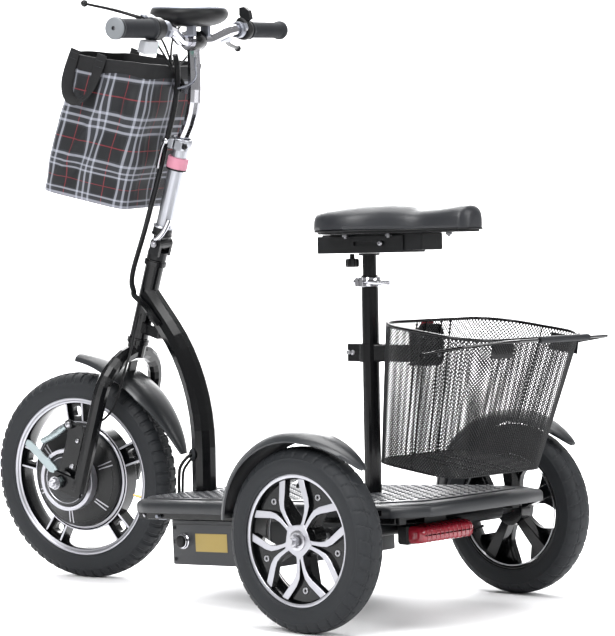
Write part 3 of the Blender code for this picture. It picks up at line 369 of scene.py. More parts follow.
def tube(points, radius, sides=12, per=6, ribs=None, flat=1.0, facing=None):
    """A tube on a smooth path; radius is a number or a function of the way along, 0 to 1.

    ribs scales the radius at each step, flat squashes the section, and facing aims its wide side."""
    path = smooth_path(points, per) if per > 1 else [Vector(q) for q in points]
    last = len(path) - 1
    tangent = (path[1] - path[0]).normalized()
    side = Vector(facing) if facing else tangent.orthogonal()
    side = (side - tangent * side.dot(tangent)).normalized()
    made = []
    for i, place in enumerate(path):
        ahead = path[min(i + 1, last)] - path[max(i - 1, 0)]
        ahead.normalize()
        side = (side - ahead * side.dot(ahead)).normalized()
        other = ahead.cross(side)
        r = radius(i / last) if callable(radius) else radius
        if ribs:
            r *= ribs(i)
        made += [place + side * (r * math.cos(a)) + other * (r * flat * math.sin(a)) for a in circle(sides)]
    return made, capped_faces(last + 1, sides)


def bar(start, end, radius, sides=20):
    """A round rod between two points."""
    length = (Vector(end) - Vector(start)).length
    shell = lathe([(radius, 0), (radius, length)], sides, whole=False)
    return moved(shell, aimed(start, Vector(end) - Vector(start)))


def slab(outline, low, high):
    """A prism over an outline in XY."""
    n = len(outline)
    points = [(x, y, low) for x, y in outline] + [(x, y, high) for x, y in outline]
    faces = [tuple(range(n)), tuple(range(n, 2 * n))]
    faces += [(i, (i + 1) % n, n + (i + 1) % n, n + i) for i in range(n)]
    return points, faces


def block(low, high):
    outline = [(low[0], low[1]), (high[0], low[1]), (high[0], high[1]), (low[0], high[1])]
    return slab(outline, low[2], high[2])


def bolt(place, direction, radius=0.0045, height=0.003):
    """A button-head screw with a hex socket, standing on a surface."""
    profile = [(radius, 0), (radius, height * 0.45), (radius * 0.75, height * 0.9), (radius * 0.5, height),
               (radius * 0.42, height), (radius * 0.4, height * 0.35)]
    return moved(lathe(profile, 18, whole=False), aimed(place, direction))


def nut(place, direction, radius=0.006, height=0.005, stud=0.003):
    """A hexagon nut with the end of its stud, standing on a surface."""
    outer = [(radius * 0.93, 0), (radius, height * 0.15), (radius, height * 0.85), (radius * 0.88, height)]
    thread = [(stud, height * 0.5), (stud, height * 1.5), (stud * 0.8, height * 1.62)]
    shells = joined(lathe(outer, 6, whole=False), lathe(thread, 12, whole=False))
    return moved(shells, aimed(place, direction))


def polar(radius, degrees, z=0.0):
    angle = math.radians(degrees)
    return (radius * math.cos(angle), radius * math.sin(angle), z)


def spot(radius, degrees):
    """A point in XY at a radius and an angle."""
    return polar(radius, degrees)[:2]


def strip(path, half, low, high):
    """A flat bar in XY that follows a path, with half widths along it, from low to high in Z."""
    left, right = [], []
    path = [Vector((x, y)) for x, y in path]
    for i, place in enumerate(path):
        ahead = (path[min(i + 1, len(path) - 1)] - path[max(i - 1, 0)]).normalized()
        across = Vector((-ahead.y, ahead.x)) * (half[i] if isinstance(half, list) else half)
        left.append(tuple(place + across))
        right.append(tuple(place - across))
    return slab(left + right[::-1], low, high)


def paint_node(names, material):
    for name in names:
        node = NODES[name]
        node.data.materials.clear()
        node.data.materials.append(material)
        node.data.shade_smooth()
        node.data.set_sharp_from_angle(angle=math.radians(35))


# ---- wheels -------------------------------------------------------------------------------------
def soft_pulse(position, centre, half, edge):
    """1 within half of the centre of a repeat of length 1, falling to 0 over edge."""
    off = np.abs((position - centre + 0.5) % 1.0 - 0.5)
    return np.clip((half + edge - off) / edge, 0, 1)


def tyre(name, outer, bead, half, blocks, place, body, node, knobs):
    """A tyre with cut tread: grooves go into the crown and shoulders, and rings mark the sidewall."""
    across, around = 72, blocks * 10
    turn = np.linspace(-math.radians(118), math.radians(118), across)
    middle = bead + (outer - bead) * 0.4
    rise = outer - middle
    theta = 2 * math.pi * np.arange(around) / around
    t, th = np.meshgrid(turn, theta, indexing="ij")
    width = np.sign(np.sin(t)) * np.abs(np.sin(t)) ** 0.86 * half
    radius = middle + rise * np.sign(np.cos(t)) * np.abs(np.cos(t)) ** 0.8
    radius = np.where(np.cos(t) < 0, middle + (middle - bead) * 1.9 * np.cos(t), radius)
    side = np.abs(width) / half
    crown = np.clip((radius - (outer - rise * 0.62)) / (rise * 0.12), 0, 1)
    along = blocks * th / (2 * math.pi)
    if knobs:
        lug = soft_pulse(along + 0.5 * (width > 0), 0.5, 0.1, 0.05) * (side > 0.34)
        wave = 0.3 + 0.06 * np.sign(np.sin(2 * math.pi * along))
        ring = np.clip(1 - np.abs(side - wave) / 0.045, 0, 1) ** 0.5
        middle_cut = soft_pulse(along + 0.25, 0.5, 0.07, 0.05) * (side < 0.3)
    else:
        lug = soft_pulse(along - side * 0.55, 0.5, 0.045, 0.04) * (side > 0.18)
        ring = np.clip(1 - np.abs(side - 0.42 - 0.1 * (np.abs((along % 1.0) - 0.5))) / 0.04, 0, 1)
        middle_cut = np.clip(1 - side / 0.05, 0, 1)
    depth = 0.0026 if knobs else 0.0018
    cut = depth * crown * np.maximum(np.maximum(lug, ring * 0.9), middle_cut * 0.8)
    slope = np.arctan2(width / half, (radius - middle) / rise)
    radius = radius - cut * np.cos(slope)
    width = width - cut * np.sin(slope) * 0.7
    for level in (0.1, 0.34, 0.52):
        at = middle + rise * level
        ridge = np.exp(-((radius - at) / 0.0009) ** 2) * (1 - crown) * 0.0006
        width = width + np.sign(width) * ridge
    flange = np.exp(-((radius - bead - 0.006) / 0.0016) ** 2) * 0.0008
    width = width + np.sign(width) * flange
    points = np.stack([radius * np.cos(th), radius * np.sin(th), width], -1)
    points[:, :, 2] = np.clip(points[:, :, 2], -half, half)
    shell = (points.reshape(-1, 3).tolist(), grid_faces(across, around, wrap_rows=True))
    piece(name, shell, place, body, RUBBER, [node], smooth=32)


# half of a split spoke: radius and degrees off its middle, from the hub outward
SPOKE = ((0.0225, 9.0), (0.034, 7.6), (0.05, 7.8), (0.063, 9.6), (0.074, 14.0), (0.088, 20.0),
         (0.1062, 25.0))


def rear_wheel(side, label):
    """Split-spoke alloy wheel: machined faces outboard, black flanks and webs, and a black inner side."""
    body = f"rear_wheel_{label}"
    hub = BASE @ shift(side * HALF_TRACK, 0, AXLE_Z)
    if side < 0:
        hub = hub @ Matrix.Rotation(math.pi, 4, "Z")
    place = hub @ ACROSS
    tyre(f"rear_tyre_tread_{label}", 0.158, 0.1105, 0.03, 38, place, body, f"rear_tyre_{label}", False)
    web_at = 151.0 if side > 0 else 29.0
    face = 0.0236

    def outer_face(polygon):
        return 0 if polygon.normal.z > 0.75 and polygon.calc_center_median().z > 0.002 else 1

    barrel = [(0.1132, face), (0.1132, 0.0215), (0.1085, 0.018), (0.1085, -0.018), (0.1132, -0.0215),
              (0.1132, -face), (0.1105, -face - 0.0006), (0.1072, -face), (0.1045, -0.019), (0.103, -0.01),
              (0.103, 0.006), (0.1042, 0.0195), (0.1062, face - 0.0006), (0.1105, face + 0.0004)]
    rim_parts = [lathe(barrel, 96)]
    for k in range(5):
        centre = web_at + 72 * k
        for lean in (-1, 1):
            path = [spot(r, centre + lean * a) for r, a in SPOKE]
            rim_parts.append(strip(path, [0.0042, 0.0034, 0.004, 0.0052, 0.006, 0.0064, 0.0068], 0.006,
                0.0195))
    star = [spot(0.032 if i % 2 == 0 else 0.0265, web_at + 36 * i) for i in range(10)]
    rim_parts.append(slab(star, 0.0, 0.02))
    piece(f"alloy_wheel_{label}", rim_parts, place, body, [MACHINED, GLOSS], [f"rear_rim_{label}"],
          bevel=0.0009, pick=outer_face)

    dark = []
    for k in range(5):
        centre = web_at + 72 * k
        outline = [spot(r, centre + a) for r, a in SPOKE[1:]]
        outline += [spot(0.1062, centre)] + [spot(r, centre - a) for r, a in SPOKE[:0:-1]]
        dark.append(slab(outline, 0.004, 0.0125))
        ribs = [spot(0.028, centre), spot(0.106, centre)]
        dark.append(strip(ribs, [0.0085, 0.013], -0.016, 0.006))
    dark.append(lathe([(0.03, 0.006), (0.03, -0.0215), (0.022, -0.022), (0.0065, -0.022), (0.0065, 0.006)],
        40))
    piece(f"wheel_webs_{label}", dark, place, body, GLOSS, bevel=0.0012)

    bright = []
    for k in range(5):
        x, y = spot(0.085, web_at + 72 * k)
        ring = [(0.0056, 0.0125), (0.0056, 0.014), (0.0049, 0.0148), (0.0036, 0.0148), (0.003, 0.0138),
                (0.003, 0.0125)]
        bright.append(moved(lathe(ring[::-1], 20), shift(x, y, 0)))
    bright.append(lathe([(0.0175, 0.0195), (0.017, 0.0222), (0.015, 0.0228), (0.0118, 0.0228),
        (0.0112, 0.0205), (0.0112, 0.0195)], 40))
    bright.append(lathe([(0.1052, -0.0222), (0.1052, -0.0236), (0.1035, -0.0236), (0.103, -0.0215)], 96))
    piece(f"wheel_bolts_{label}", bright, place, body, BOLT, smooth=30)
    stem = tube([polar(0.104, web_at + 36, -0.004), polar(0.099, web_at + 36, -0.001),
                 polar(0.089, web_at + 36, 0.006)], 0.0026, 10, 3)
    piece(f"valve_{label}", stem, place, body, PLASTIC)


def front_wheel():
    """Tyre, windowed rim with bright and black faces, the finned hub motor, the drum and the valve."""
    body = "front_wheel"
    tyre("front_tyre_tread", 0.2075, 0.1565, 0.03125, 58, FRONT_HUB, body, "front_tyre", True)
    start = 58.0

    def bright_face(polygon):
        return 0 if abs(polygon.normal.z) > 0.6 or polygon.calc_center_median().xy.length > 0.149 else 1

    profile = [(0.1595, 0.0262), (0.1595, 0.0235), (0.1555, 0.02), (0.1555, -0.02), (0.1595, -0.0235),
               (0.1595, -0.0262), (0.156, -0.0268), (0.1535, -0.0255), (0.152, -0.0228), (0.1485, -0.0218),
               (0.1472, -0.019), (0.1462, -0.008), (0.1462, 0.008), (0.1472, 0.019), (0.1485, 0.0218),
               (0.152, 0.0228), (0.1535, 0.0255), (0.156, 0.0268)]
    rim = [lathe(profile, 120)]
    rim.append(lathe([(0.1115, 0.02), (0.1115, -0.014), (0.1085, -0.015), (0.1085, 0.0205)], 96))
    rim.append(lathe([(0.1065, 0.0205), (0.1065, -0.0145), (0.1004, -0.014), (0.1004, 0.022),
        (0.103, 0.023)], 96))
    for k in range(5):
        middle = start + 72 * k
        for lean in (-1, 1):
            a, b = spot(0.1095, middle + lean * 9.2), spot(0.1485, middle + lean * 7.6)
            rim.append(strip([a, b], 0.0022, -0.0125, 0.0185))
    piece("front_rim_bright", rim, FRONT_HUB, body, [MACHINED, GLOSS], ["front_rim"], bevel=0.0007,
          pick=bright_face)

    panels = []
    for k in range(5):
        middle = start + 72 * k
        outline = [polar(0.1105, middle - 8.6), polar(0.1105, middle + 8.6), polar(0.147, middle + 7.2),
                   polar(0.147, middle - 7.2)]
        hole = []
        for angle in circle(16):
            r = 0.1295 + 0.0105 * math.copysign(abs(math.cos(angle)) ** 0.6, math.cos(angle))
            hole.append(polar(r, middle + 4.1 * math.copysign(abs(math.sin(angle)) ** 0.6, math.sin(angle))))
        edge = []
        for i in range(4):
            a, b = Vector(outline[i]), Vector(outline[(i + 1) % 4])
            edge += [a.lerp(b, k2 / 4) for k2 in range(4)]
        centre = sum(edge, Vector()) / 16
        edge.sort(key=lambda p: math.atan2((p - centre).y, (p - centre).x))
        hole.sort(key=lambda p: math.atan2((Vector(p) - centre).y, (Vector(p) - centre).x))
        low = [(p[0], p[1], -0.006) for p in edge] + [(p[0], p[1], -0.006) for p in hole]
        top = [(p[0], p[1], 0.009) for p in edge] + [(p[0], p[1], 0.009) for p in hole]
        faces = []
        for i in range(16):
            j = (i + 1) % 16
            faces += [(i, j, 16 + j, 16 + i), (32 + i, 32 + j, 48 + j, 48 + i), (i, j, 32 + j, 32 + i),
                      (16 + i, 16 + j, 48 + j, 48 + i)]
        panels.append((low + top, faces))
    panels.append(lathe([(0.1083, 0.017), (0.1083, -0.013), (0.1067, -0.013), (0.1067, 0.017)], 96))
    piece("front_rim_panels", panels, FRONT_HUB, body, GLOSS, bevel=0.0006)

    # hub motor: domed covers with many fine cooling fins and a few raised pairs of ridges
    cover = [(0.0998, 0.03), (0.0998, -0.03), (0.096, -0.0335), (0.086, -0.0385), (0.06, -0.045),
             (0.03, -0.0485), (0.0262, -0.064), (0.018, -0.067), (0.0067, -0.067), (0.0067, 0.05),
             (0.044, 0.0525), (0.06, 0.0455), (0.086, 0.0385), (0.096, 0.0335)]
    motor = [lathe(cover, 96)]

    def height(r):
        return 0.0335 + (0.096 - r) / 0.036 * 0.0118 if r < 0.096 else 0.0335 - (r - 0.096) * 0.9
    for flank in (1, -1):
        for i in range(60):
            angle = 6.0 * i
            fin = strip([spot(0.066, angle), spot(0.0945, angle)], 0.001, 0, 0.0016)
            shaped = [(x, y, flank * (height(math.hypot(x, y)) + z - 0.0006)) for x, y, z in fin[0]]
            motor.append((shaped, fin[1]))
        step = [(0.087, height(0.087)), (0.088, height(0.088) + 0.0016), (0.0895, height(0.0895) + 0.0016),
                (0.0905, height(0.0905))]
        motor.append(lathe([(r, flank * z) for r, z in step], 96))
    piece("hub_motor_shell", motor, FRONT_HUB, body, MOTOR, ["hub_motor"], smooth=30)
    ridges = []
    for flank in (1, -1):
        for k in range(6):
            for lean in (-1, 1):
                angle = 60 * k + 8 + lean * 2.6
                a, b = spot(0.0655, angle), spot(0.0935, angle)
                ridge = strip([a, b], 0.0011, 0, 0.0026)
                ridges.append(([(x, y, flank * (height(math.hypot(x, y)) + z - 0.0006))
                    for x, y, z in ridge[0]], ridge[1]))
    piece("hub_motor_ridges", ridges, FRONT_HUB, body, MACHINED)
    drum = [(0.062, 0.07), (0.0625, 0.064), (0.0625, 0.052), (0.06, 0.049), (0.0535, 0.0518), (0.0535, 0.07),
            (0.0545, 0.071), (0.061, 0.071)]
    piece("brake_drum_ring", lathe(drum, 96), FRONT_HUB, body, MACHINED, ["brake_drum"], smooth=30)
    valve = joined(bar(polar(0.1475, start + 34, 0.004), polar(0.129, start + 34, 0.01), 0.003, 12),
        bar(polar(0.129, start + 34, 0.01), polar(0.124, start + 34, 0.0115), 0.0022, 12))
    piece("front_valve", valve, FRONT_HUB, body, BRASS)


rear_wheel(1, "left")
rear_wheel(-1, "right")
front_wheel()


# ---- rear basket --------------------------------------------------------------------------------
def corner_outline(half, low_y, high_y, radius, steps=8, straight=10):
    """A rectangle about x = 0 with round corners, anticlockwise, with points along its sides too."""
    centres = ((half - radius, low_y + radius, -90), (half - radius, high_y - radius, 0),
               (-half + radius, high_y - radius, 90), (-half + radius, low_y + radius, 180))
    turned = []
    for x, y, start in centres:
        arc = [start + 90 * i / steps for i in range(steps + 1)]
        turned.append([Vector((x + radius * math.cos(math.radians(a)),
            y + radius * math.sin(math.radians(a)))) for a in arc])
    points = []
    for i, arc in enumerate(turned):
        points += arc
        following = turned[(i + 1) % 4][0]
        points += [arc[-1].lerp(following, k / straight) for k in range(1, straight)]
    return points


BASKET_HIGH = 0.246
BAIL_PIVOT = Vector((0, 0.165, 0.466))
# each level: half width, depth, corner radius, height
BASKET_LEVELS = ((0.1395, 0.1795, 0.05, 0.0), (0.1575, 0.2025, 0.06, 0.123),
    (0.1745, 0.2255, 0.07, BASKET_HIGH))


def basket_surface(columns, rows):
    """Points on the wall: columns round it, rows up it, as an array (rows, columns, 3)."""
    rings = []
    for half, depth, radius, height in BASKET_LEVELS:
        outline = corner_outline(half, 0.0005, depth, radius)
        rings.append((np.array([(p.x, p.y) for p in outline + outline[:1]]), height))
    lengths = np.concatenate([[0], np.cumsum(np.linalg.norm(np.diff(rings[1][0], axis=0), axis=1))])
    share = np.arange(columns) / columns * lengths[-1]
    levels = []
    for outline, height in rings:
        x = np.interp(share, lengths, outline[:, 0])
        y = np.interp(share, lengths, outline[:, 1])
        levels.append(np.stack([x, y, np.full(columns, height)], -1))
    levels = np.array(levels)
    up = np.linspace(0, 2, rows)
    low = np.minimum(up.astype(int), 1)
    blend = (up - low)[:, None, None]
    return levels[low] * (1 - blend) + levels[low + 1] * blend


def strands(grid, wrap, width, proud, keep=None):
    """Three-sided wires along both diagonals of a lattice of points, as expanded metal."""
    rows, columns = grid.shape[:2]
    ahead = np.roll(grid, -1, axis=1) - grid
    upward = np.gradient(grid, axis=0)
    normal = np.cross(ahead, upward)
    normal /= np.linalg.norm(normal, axis=2, keepdims=True) + 1e-12
    starts, ends, normals = [], [], []
    last = columns if wrap else columns - 1
    for i in range(rows - 1):
        for j in range(last):
            k = (j + 1) % columns
            if (i + j) % 2 == 0:
                a, b = (i, j), (i + 1, k)
            else:
                a, b = (i, k), (i + 1, j)
            if keep is not None and not (keep[a] and keep[b]):
                continue
            starts.append(grid[a])
            ends.append(grid[b])
            normals.append(normal[a])
    a, b, n = np.array(starts), np.array(ends), np.array(normals)
    side = np.cross(b - a, n)
    side /= np.linalg.norm(side, axis=1, keepdims=True)
    side *= width / 2
    points = np.stack([a + side, a - side, a + n * proud, b + side, b - side, b + n * proud], 1).reshape(-1,
        3)
    base = (np.arange(len(a)) * 6)[:, None]
    quads = np.concatenate([base + np.array([side]) for side in ((0, 1, 4, 3), (1, 2, 5, 4), (2, 0, 3, 5))])
    return points.tolist(), quads.tolist()


def basket():
    """Expanded-metal walls and floor, wires, blank plates, the bracket's screws and the bail's grip."""
    wall = basket_surface(2 * 152, 2 * 37 + 1)
    piece("basket_mesh", strands(wall, True, 0.0019, 0.001), BASKET, "frame", MESH_LOOK, ["rear_basket"],
          smooth=80)
    span = np.linspace(-0.139, 0.139, 2 * 46 + 1)
    depth = np.linspace(0.001, 0.179, 2 * 30 + 1)
    x, y = np.meshgrid(span, depth)
    flat = np.stack([x, y, np.full(x.shape, 0.0022)], -1)
    inner_x = np.maximum(np.abs(x) - (0.1395 - 0.05), 0)
    inner_y = np.maximum(np.abs(y - 0.09) - (0.09 - 0.05), 0)
    inside = np.hypot(inner_x, inner_y) < 0.0497
    piece("basket_floor_mesh", strands(flat, False, 0.002, 0.001, inside), BASKET, "frame", MESH_LOOK,
          smooth=80)

    def around(level, radius, lift):
        half, far, corner, height = level
        path = [(p.x, p.y, height + lift) for p in corner_outline(half - radius * 0.6, radius * 0.6,
            far - radius * 0.6, corner, 8, 4)]
        path.append(path[0])
        return tube(path, radius, 10, 1)
    wires = [around(BASKET_LEVELS[2], 0.003, -0.0025), around(BASKET_LEVELS[0], 0.0022, 0.0022)]
    for x in (-0.045, -0.02, 0.02, 0.045):
        low, high = (x, 0.0022, 0.002), (x * 1.05, 0.0024, BASKET_HIGH - 0.004)
        wires.append(bar(low, high, 0.0016, 8))
        wires.append(tube([low, (x, 0.06, 0.0036), (x, 0.176, 0.0036)], 0.0014, 8, 4))
    for side in (-1, 1):
        wires.append(tube([(side * 0.137, 0.09, 0.004), (side * 0.1565, 0.101, 0.124),
            (side * 0.1725, 0.1125, 0.243)], 0.0012, 8, 6))
    piece("basket_rim_wire", wires, BASKET, "frame", GLOSS, smooth=60)

    # blank plates tied to the walls, and the bracket's plate and bolts inside the front wall
    plates = [block((-0.1705, 0.135, 0.205), (-0.169, 0.195, 0.236)), block((0.055, 0.2195, 0.212),
        (0.115, 0.221, 0.238))]
    piece("basket_plates", plates, BASKET, "frame", PLASTIC, bevel=0.0006)
    inner = slab([spot(0.045, a) for a in (35, 55, 125, 145, 215, 235, 305, 325)], 0, 0.0022)
    inner = moved(inner, shift(0, 0.0385, 0.476) @ rotation("X", -90))
    piece("basket_inner_plate", inner, BASE, "frame", GLOSS, bevel=0.0006)
    screws = []
    for x in (-0.022, 0.022):
        for z in (0.458, 0.492):
            screws.append(bolt((x, 0.0407, z), (0, 1, 0), 0.0042, 0.0028))
            screws.append(nut((x, 0.0264, z), (0, -1, 0), 0.0042, 0.0028, 0.002))
    for y in (-0.0435, -0.033, 0.0235):
        screws.append(bolt((0.0112, SEAT_AT + y, 0.4605), (1, 0, 0), 0.0048, 0.003))
        screws.append(nut((-0.0112, SEAT_AT + y, 0.4605), (-1, 0, 0), 0.005, 0.004, 0.0025))
    hardware("basket_bracket_screws", screws, BASE, "frame")
    reach = BAIL_PIVOT + Vector((0, 0.163, 0.0235))
    sleeve = tube([reach + Vector((x, 0, 0)) for x in (-0.07, -0.035, 0, 0.035, 0.07)], 0.0056, 14, 2)
    piece("bail_grip", sleeve, BASE, "basket_bail", GRIP, smooth=40, bevel=0.0008)
    eyes = []
    for side in (-1, 1):
        eyes.append(moved(lathe([(0.0046, -0.0018), (0.006, 0), (0.0046, 0.0018), (0.0034, 0)], 20),
            shift(side * 0.1795, *BAIL_PIVOT.yz) @ ACROSS))
    piece("bail_eyes", eyes, BASE, "frame", GLOSS, smooth=60)


basket()


# ---- deck, battery case and fenders -------------------------------------------------------------
def deck_edge(inset, front, rear):
    """The deck from above: round front corners, widening sides and cut rear corners."""
    half, wide, radius = 0.194 - inset, 0.203 - inset, 0.075 - inset * 0.5
    points = []
    for degrees in np.linspace(-90, 0, 9):
        x, y = spot(radius, float(degrees))
        points.append((half - radius + x, front + radius + y))
    points += [(half + (wide - half) * 0.5, (front + rear) * 0.5), (wide, rear - 0.066),
               (wide - 0.003, rear - 0.058), (wide - 0.041, rear - 0.008), (wide - 0.048, rear - 0.004),
               (0.06, rear)]
    return points + [(-x, y) for x, y in reversed(points)]


def inside(point, outline):
    """True if the point is inside the outline, by counting the edges that a ray crosses."""
    x, y = point
    crossed = False
    for (ax, ay), (bx, by) in zip(outline, outline[1:] + outline[:1]):
        if (ay > y) != (by > y) and x < (bx - ax) * (y - ay) / (by - ay) + ax:
            crossed = not crossed
    return crossed


def deck():
    """The moulded shell, its flanges, the mat with ribs that stay clear of the tubes, and screws."""
    outer = ((0.0008, -0.0263), (0.0, -0.0245), (0.0, -0.0125), (0.0012, -0.0092), (0.004, -0.0062),
             (0.009, -0.0044), (0.015, -0.0038), (0.024, -0.0036))
    rings = [[(x, y, z) for x, y in deck_edge(inset, -0.557 + inset, 0.168 - inset)] for inset, z in outer]
    inner = [[(x, y, z) for x, y in deck_edge(0.0035, -0.5535, 0.1645)] for z in (-0.0072, -0.0263)]
    shell = loft(inner + rings)
    piece("deck_skirt", shell, DECK, "frame", SHELL, ["deck_shell"], smooth=50)
    flange = []
    for side in (-1, 1):
        edge = [(side * 0.1765, -0.5), (side * 0.1795, -0.5), (side * 0.1795, 0.098), (side * 0.1765, 0.098)]
        flange.append(slab(edge if side > 0 else edge[::-1], -0.0385, -0.0268))
    piece("deck_lower_flange", flange, DECK, "frame", GLOSS, bevel=0.001)
    # painted shade: a dark glossy block stands for the shade inside a recess in the deck's side; no hollow
    # is cut
    recess = block((0.1985, 0.006, -0.0225), (0.2033, 0.09, -0.0125))
    piece("deck_side_recess_shade", recess, DECK, "frame", DARK_LENS, bevel=0.0008)

    edge = deck_edge(0.028, -0.548, 0.128)
    base = loft([[(x, y, z) for x, y in edge] for z in (-0.0032, -0.0016)]
                + [[(x * 0.995, y * 0.995 - 0.001, -0.0011) for x, y in edge]])
    border = deck_edge(0.04, -0.536, 0.116)
    dashes = [base]
    pitch_x, pitch_y = 0.0215, 0.0125
    for row in range(-45, 12):
        for column in range(-9, 10):
            x = pitch_x * (column + 0.5 * (row % 2))
            y = pitch_y * row
            free = min(math.hypot(x, y - TUBE_AT) - 0.034, math.hypot(x, y - SEAT_AT) - 0.024)
            if free < 0 or not inside((x, y), border):
                continue
            lean = math.radians(32 if row % 2 else -32)
            low, high = [], []
            for a in range(8):
                turn = 2 * math.pi * a / 8
                u, v = 0.0088 * math.cos(turn), 0.0036 * math.sin(turn)
                u, v = math.copysign(min(abs(u), 0.0078), u), math.copysign(min(abs(v), 0.003), v)
                place = (x + u * math.cos(lean) - v * math.sin(lean), y + u * math.sin(lean)
                         + v * math.cos(lean))
                low.append((*place, -0.0014))
                high.append((x + (place[0] - x) * 0.8, y + (place[1] - y) * 0.72, 0.0006))
            dashes.append(loft([low, high]))
    piece("mat_with_ribs", dashes, DECK, "frame", MAT, ["deck_mat"], smooth=45)

    screws = []
    for side in (-1, 1):
        for y in (-0.47, -0.3, -0.06, 0.06):
            screws.append(bolt((side * 0.1702, y, -0.0335), (side, 0, 0), 0.0048, 0.0032))
        screws.append(nut((side * 0.15, -0.5335, -0.0335), (0, -1, 0), 0.0056, 0.0045, 0.003))
    bracket = joined(bar((0.1705, -0.468, -0.033), (0.1785, -0.468, -0.033), 0.006, 20),
        bar((0.1785, -0.468, -0.033), (0.188, -0.468, -0.033), 0.0035, 16), block((0.1702, -0.478, -0.0405),
        (0.1725, -0.458, -0.0265)))
    hardware("deck_screws", screws, DECK, "frame")
    piece("charge_lead_clip", bracket, DECK, "frame", CAST, bevel=0.0006)


def battery_box():
    """The sheet-metal case with its folds, blank label, charge port and flip cap."""
    top, low = -0.0411, -0.1225
    outline = corner_outline(0.172, -0.446, -0.196, 0.0035, 3, 4)
    rings = []
    for inset, z in ((0.0022, low), (0.0006, low + 0.0008), (0.0, low + 0.0025), (0.0, top)):
        rings.append([(p.x * (1 - inset / 0.172), (p.y + 0.321) * (1 - inset / 0.125) - 0.321, z)
                      for p in outline])
    piece("battery_shell", loft(rings), DECK, "frame", STEEL_GREY, ["battery_case"], smooth=40)
    seams = [block((0.1718, -0.44, top - 0.0075), (0.1726, -0.202, top - 0.006)),
             block((0.1718, -0.2075, low + 0.004), (0.1726, -0.206, top - 0.002))]
    piece("battery_folds", seams, DECK, "frame", GLOSS)
    screws = []
    for y in (-0.438, -0.205):
        for z in (top - 0.013, low + 0.01):
            screws.append(bolt((0.172, y, z), (1, 0, 0), 0.0036, 0.0018))
            screws.append(bolt((-0.172, y, z), (-1, 0, 0), 0.0036, 0.0018))
    piece("battery_screws", screws, DECK, "frame", PLASTIC, smooth=30)
    label = moved(loft([[(y * k, z * k, h) for y, z in ((-0.04, -0.0165), (0.04, -0.0165), (0.04, 0.0165),
        (-0.04, 0.0165))] for k, h in ((1.0, 0.0), (1.0, 0.0003), (0.985, 0.0005))]),
        shift(0.172, -0.345, -0.081) @ Matrix(((0, 0, 1, 0), (1, 0, 0, 0), (0, 1, 0, 0), (0, 0, 0, 1))))
    piece("blank_label", label, DECK, "frame", LABEL)
    port = lathe([(0.0145, 0.0), (0.0145, 0.0018), (0.0128, 0.003), (0.0128, 0.007), (0.0118, 0.0075),
                  (0.0102, 0.0075), (0.0102, 0.003), (0.0, 0.003)], 32, whole=False)
    place = shift(0.172, -0.415, -0.079) @ ACROSS
    piece("charge_port_rim", moved(port, place), DECK, "frame", CHROME, smooth=40)
    cap = lathe([(0.0112, 0.0004), (0.0112, 0.0026), (0.0098, 0.0046), (0.007, 0.0056), (0.003, 0.0058),
                 (0.0, 0.0058)], 28, whole=False)
    tab = block((-0.004, -0.0175, 0.0006), (0.004, -0.0095, 0.0024))
    flip = shift(0.1799, -0.415, -0.079) @ ACROSS
    piece("charge_cap_cover", moved(joined(cap, tab), flip), DECK, "charge_cap", PLASTIC, ["charge_cap"],
          bevel=0.0004)


def fender_shell(name, body, place, centre, node, half_at, crown, drop, first, last):
    """A thin bowed strip round a wheel, with a turned-down lip along both edges and a pointed tip."""
    rings = []
    count, across = 56, 20
    for i in range(count + 1):
        t = i / count
        angle = math.radians(first + (last - first) * t)
        half = half_at(t)
        fall = drop * half / half_at(0.5)
        ring = []
        for thick in (0.0, 0.0024):
            row = []
            for k in range(across + 1):
                a = -1 + 2 * k / across
                edge = max(0.0, (abs(a) - 0.93) / 0.07)
                x = (half - thick * 0.9) * (a if abs(a) < 0.93
                    else math.copysign(0.93 + 0.07 * math.sin(edge * 1.2), a))
                radius = crown - fall * abs(a) ** 2.6 - edge * 0.0035 - thick
                row.append((x, centre[0] + radius * math.sin(angle), centre[1] + radius * math.cos(angle)))
            ring += row if thick == 0.0 else row[::-1]
        rings.append(ring)
    return piece(name, loft(rings), place, body, FENDER, [node], smooth=60)


def fenders():
    """Three fenders, with the rear ones' stays and the front one's bracket."""
    def rear_half(t):
        return 0.0395 * min(1.0, (0.3 + 2.2 * t) ** 0.6, (0.02 + 3.2 * (1 - t)) ** 0.55)
    for side, label in ((1, "left"), (-1, "right")):
        place = BASE @ shift(side * 0.297, 0, 0)
        fender_shell(f"rear_fender_shell_{label}", "frame", place, (0, AXLE_Z), f"rear_fender_{label}",
                     rear_half, 0.186, 0.014, -82, 47)
        corners = sorted((side * 0.1996, side * 0.288))
        stay = [block((corners[0], -0.188, -0.02), (corners[1], -0.165, -0.014)),
                bolt((side * 0.272, -0.1765, -0.014), (0, 0, 1), 0.005, 0.003)]
        piece(f"fender_stay_{label}", stay, DECK, "frame", SATIN, bevel=0.0008)

    def front_half(t):
        return 0.047 * min(1.0, (0.45 + 2.0 * t) ** 0.7, (0.06 + 2.2 * (1 - t)) ** 0.6)
    fender_shell("front_fender_shell", "steering", STEER, HUB_AT, "front_fender", front_half, 0.2465, 0.016,
                 -17, 60)
    bracket = joined(block((-0.012, -0.003, 0.2225), (0.012, 0.003, 0.244)), bolt((0, -0.0035, 0.233),
        (0, -1, 0), 0.005))
    piece("front_fender_bracket", bracket, STEER, "steering", SATIN, bevel=0.0006)


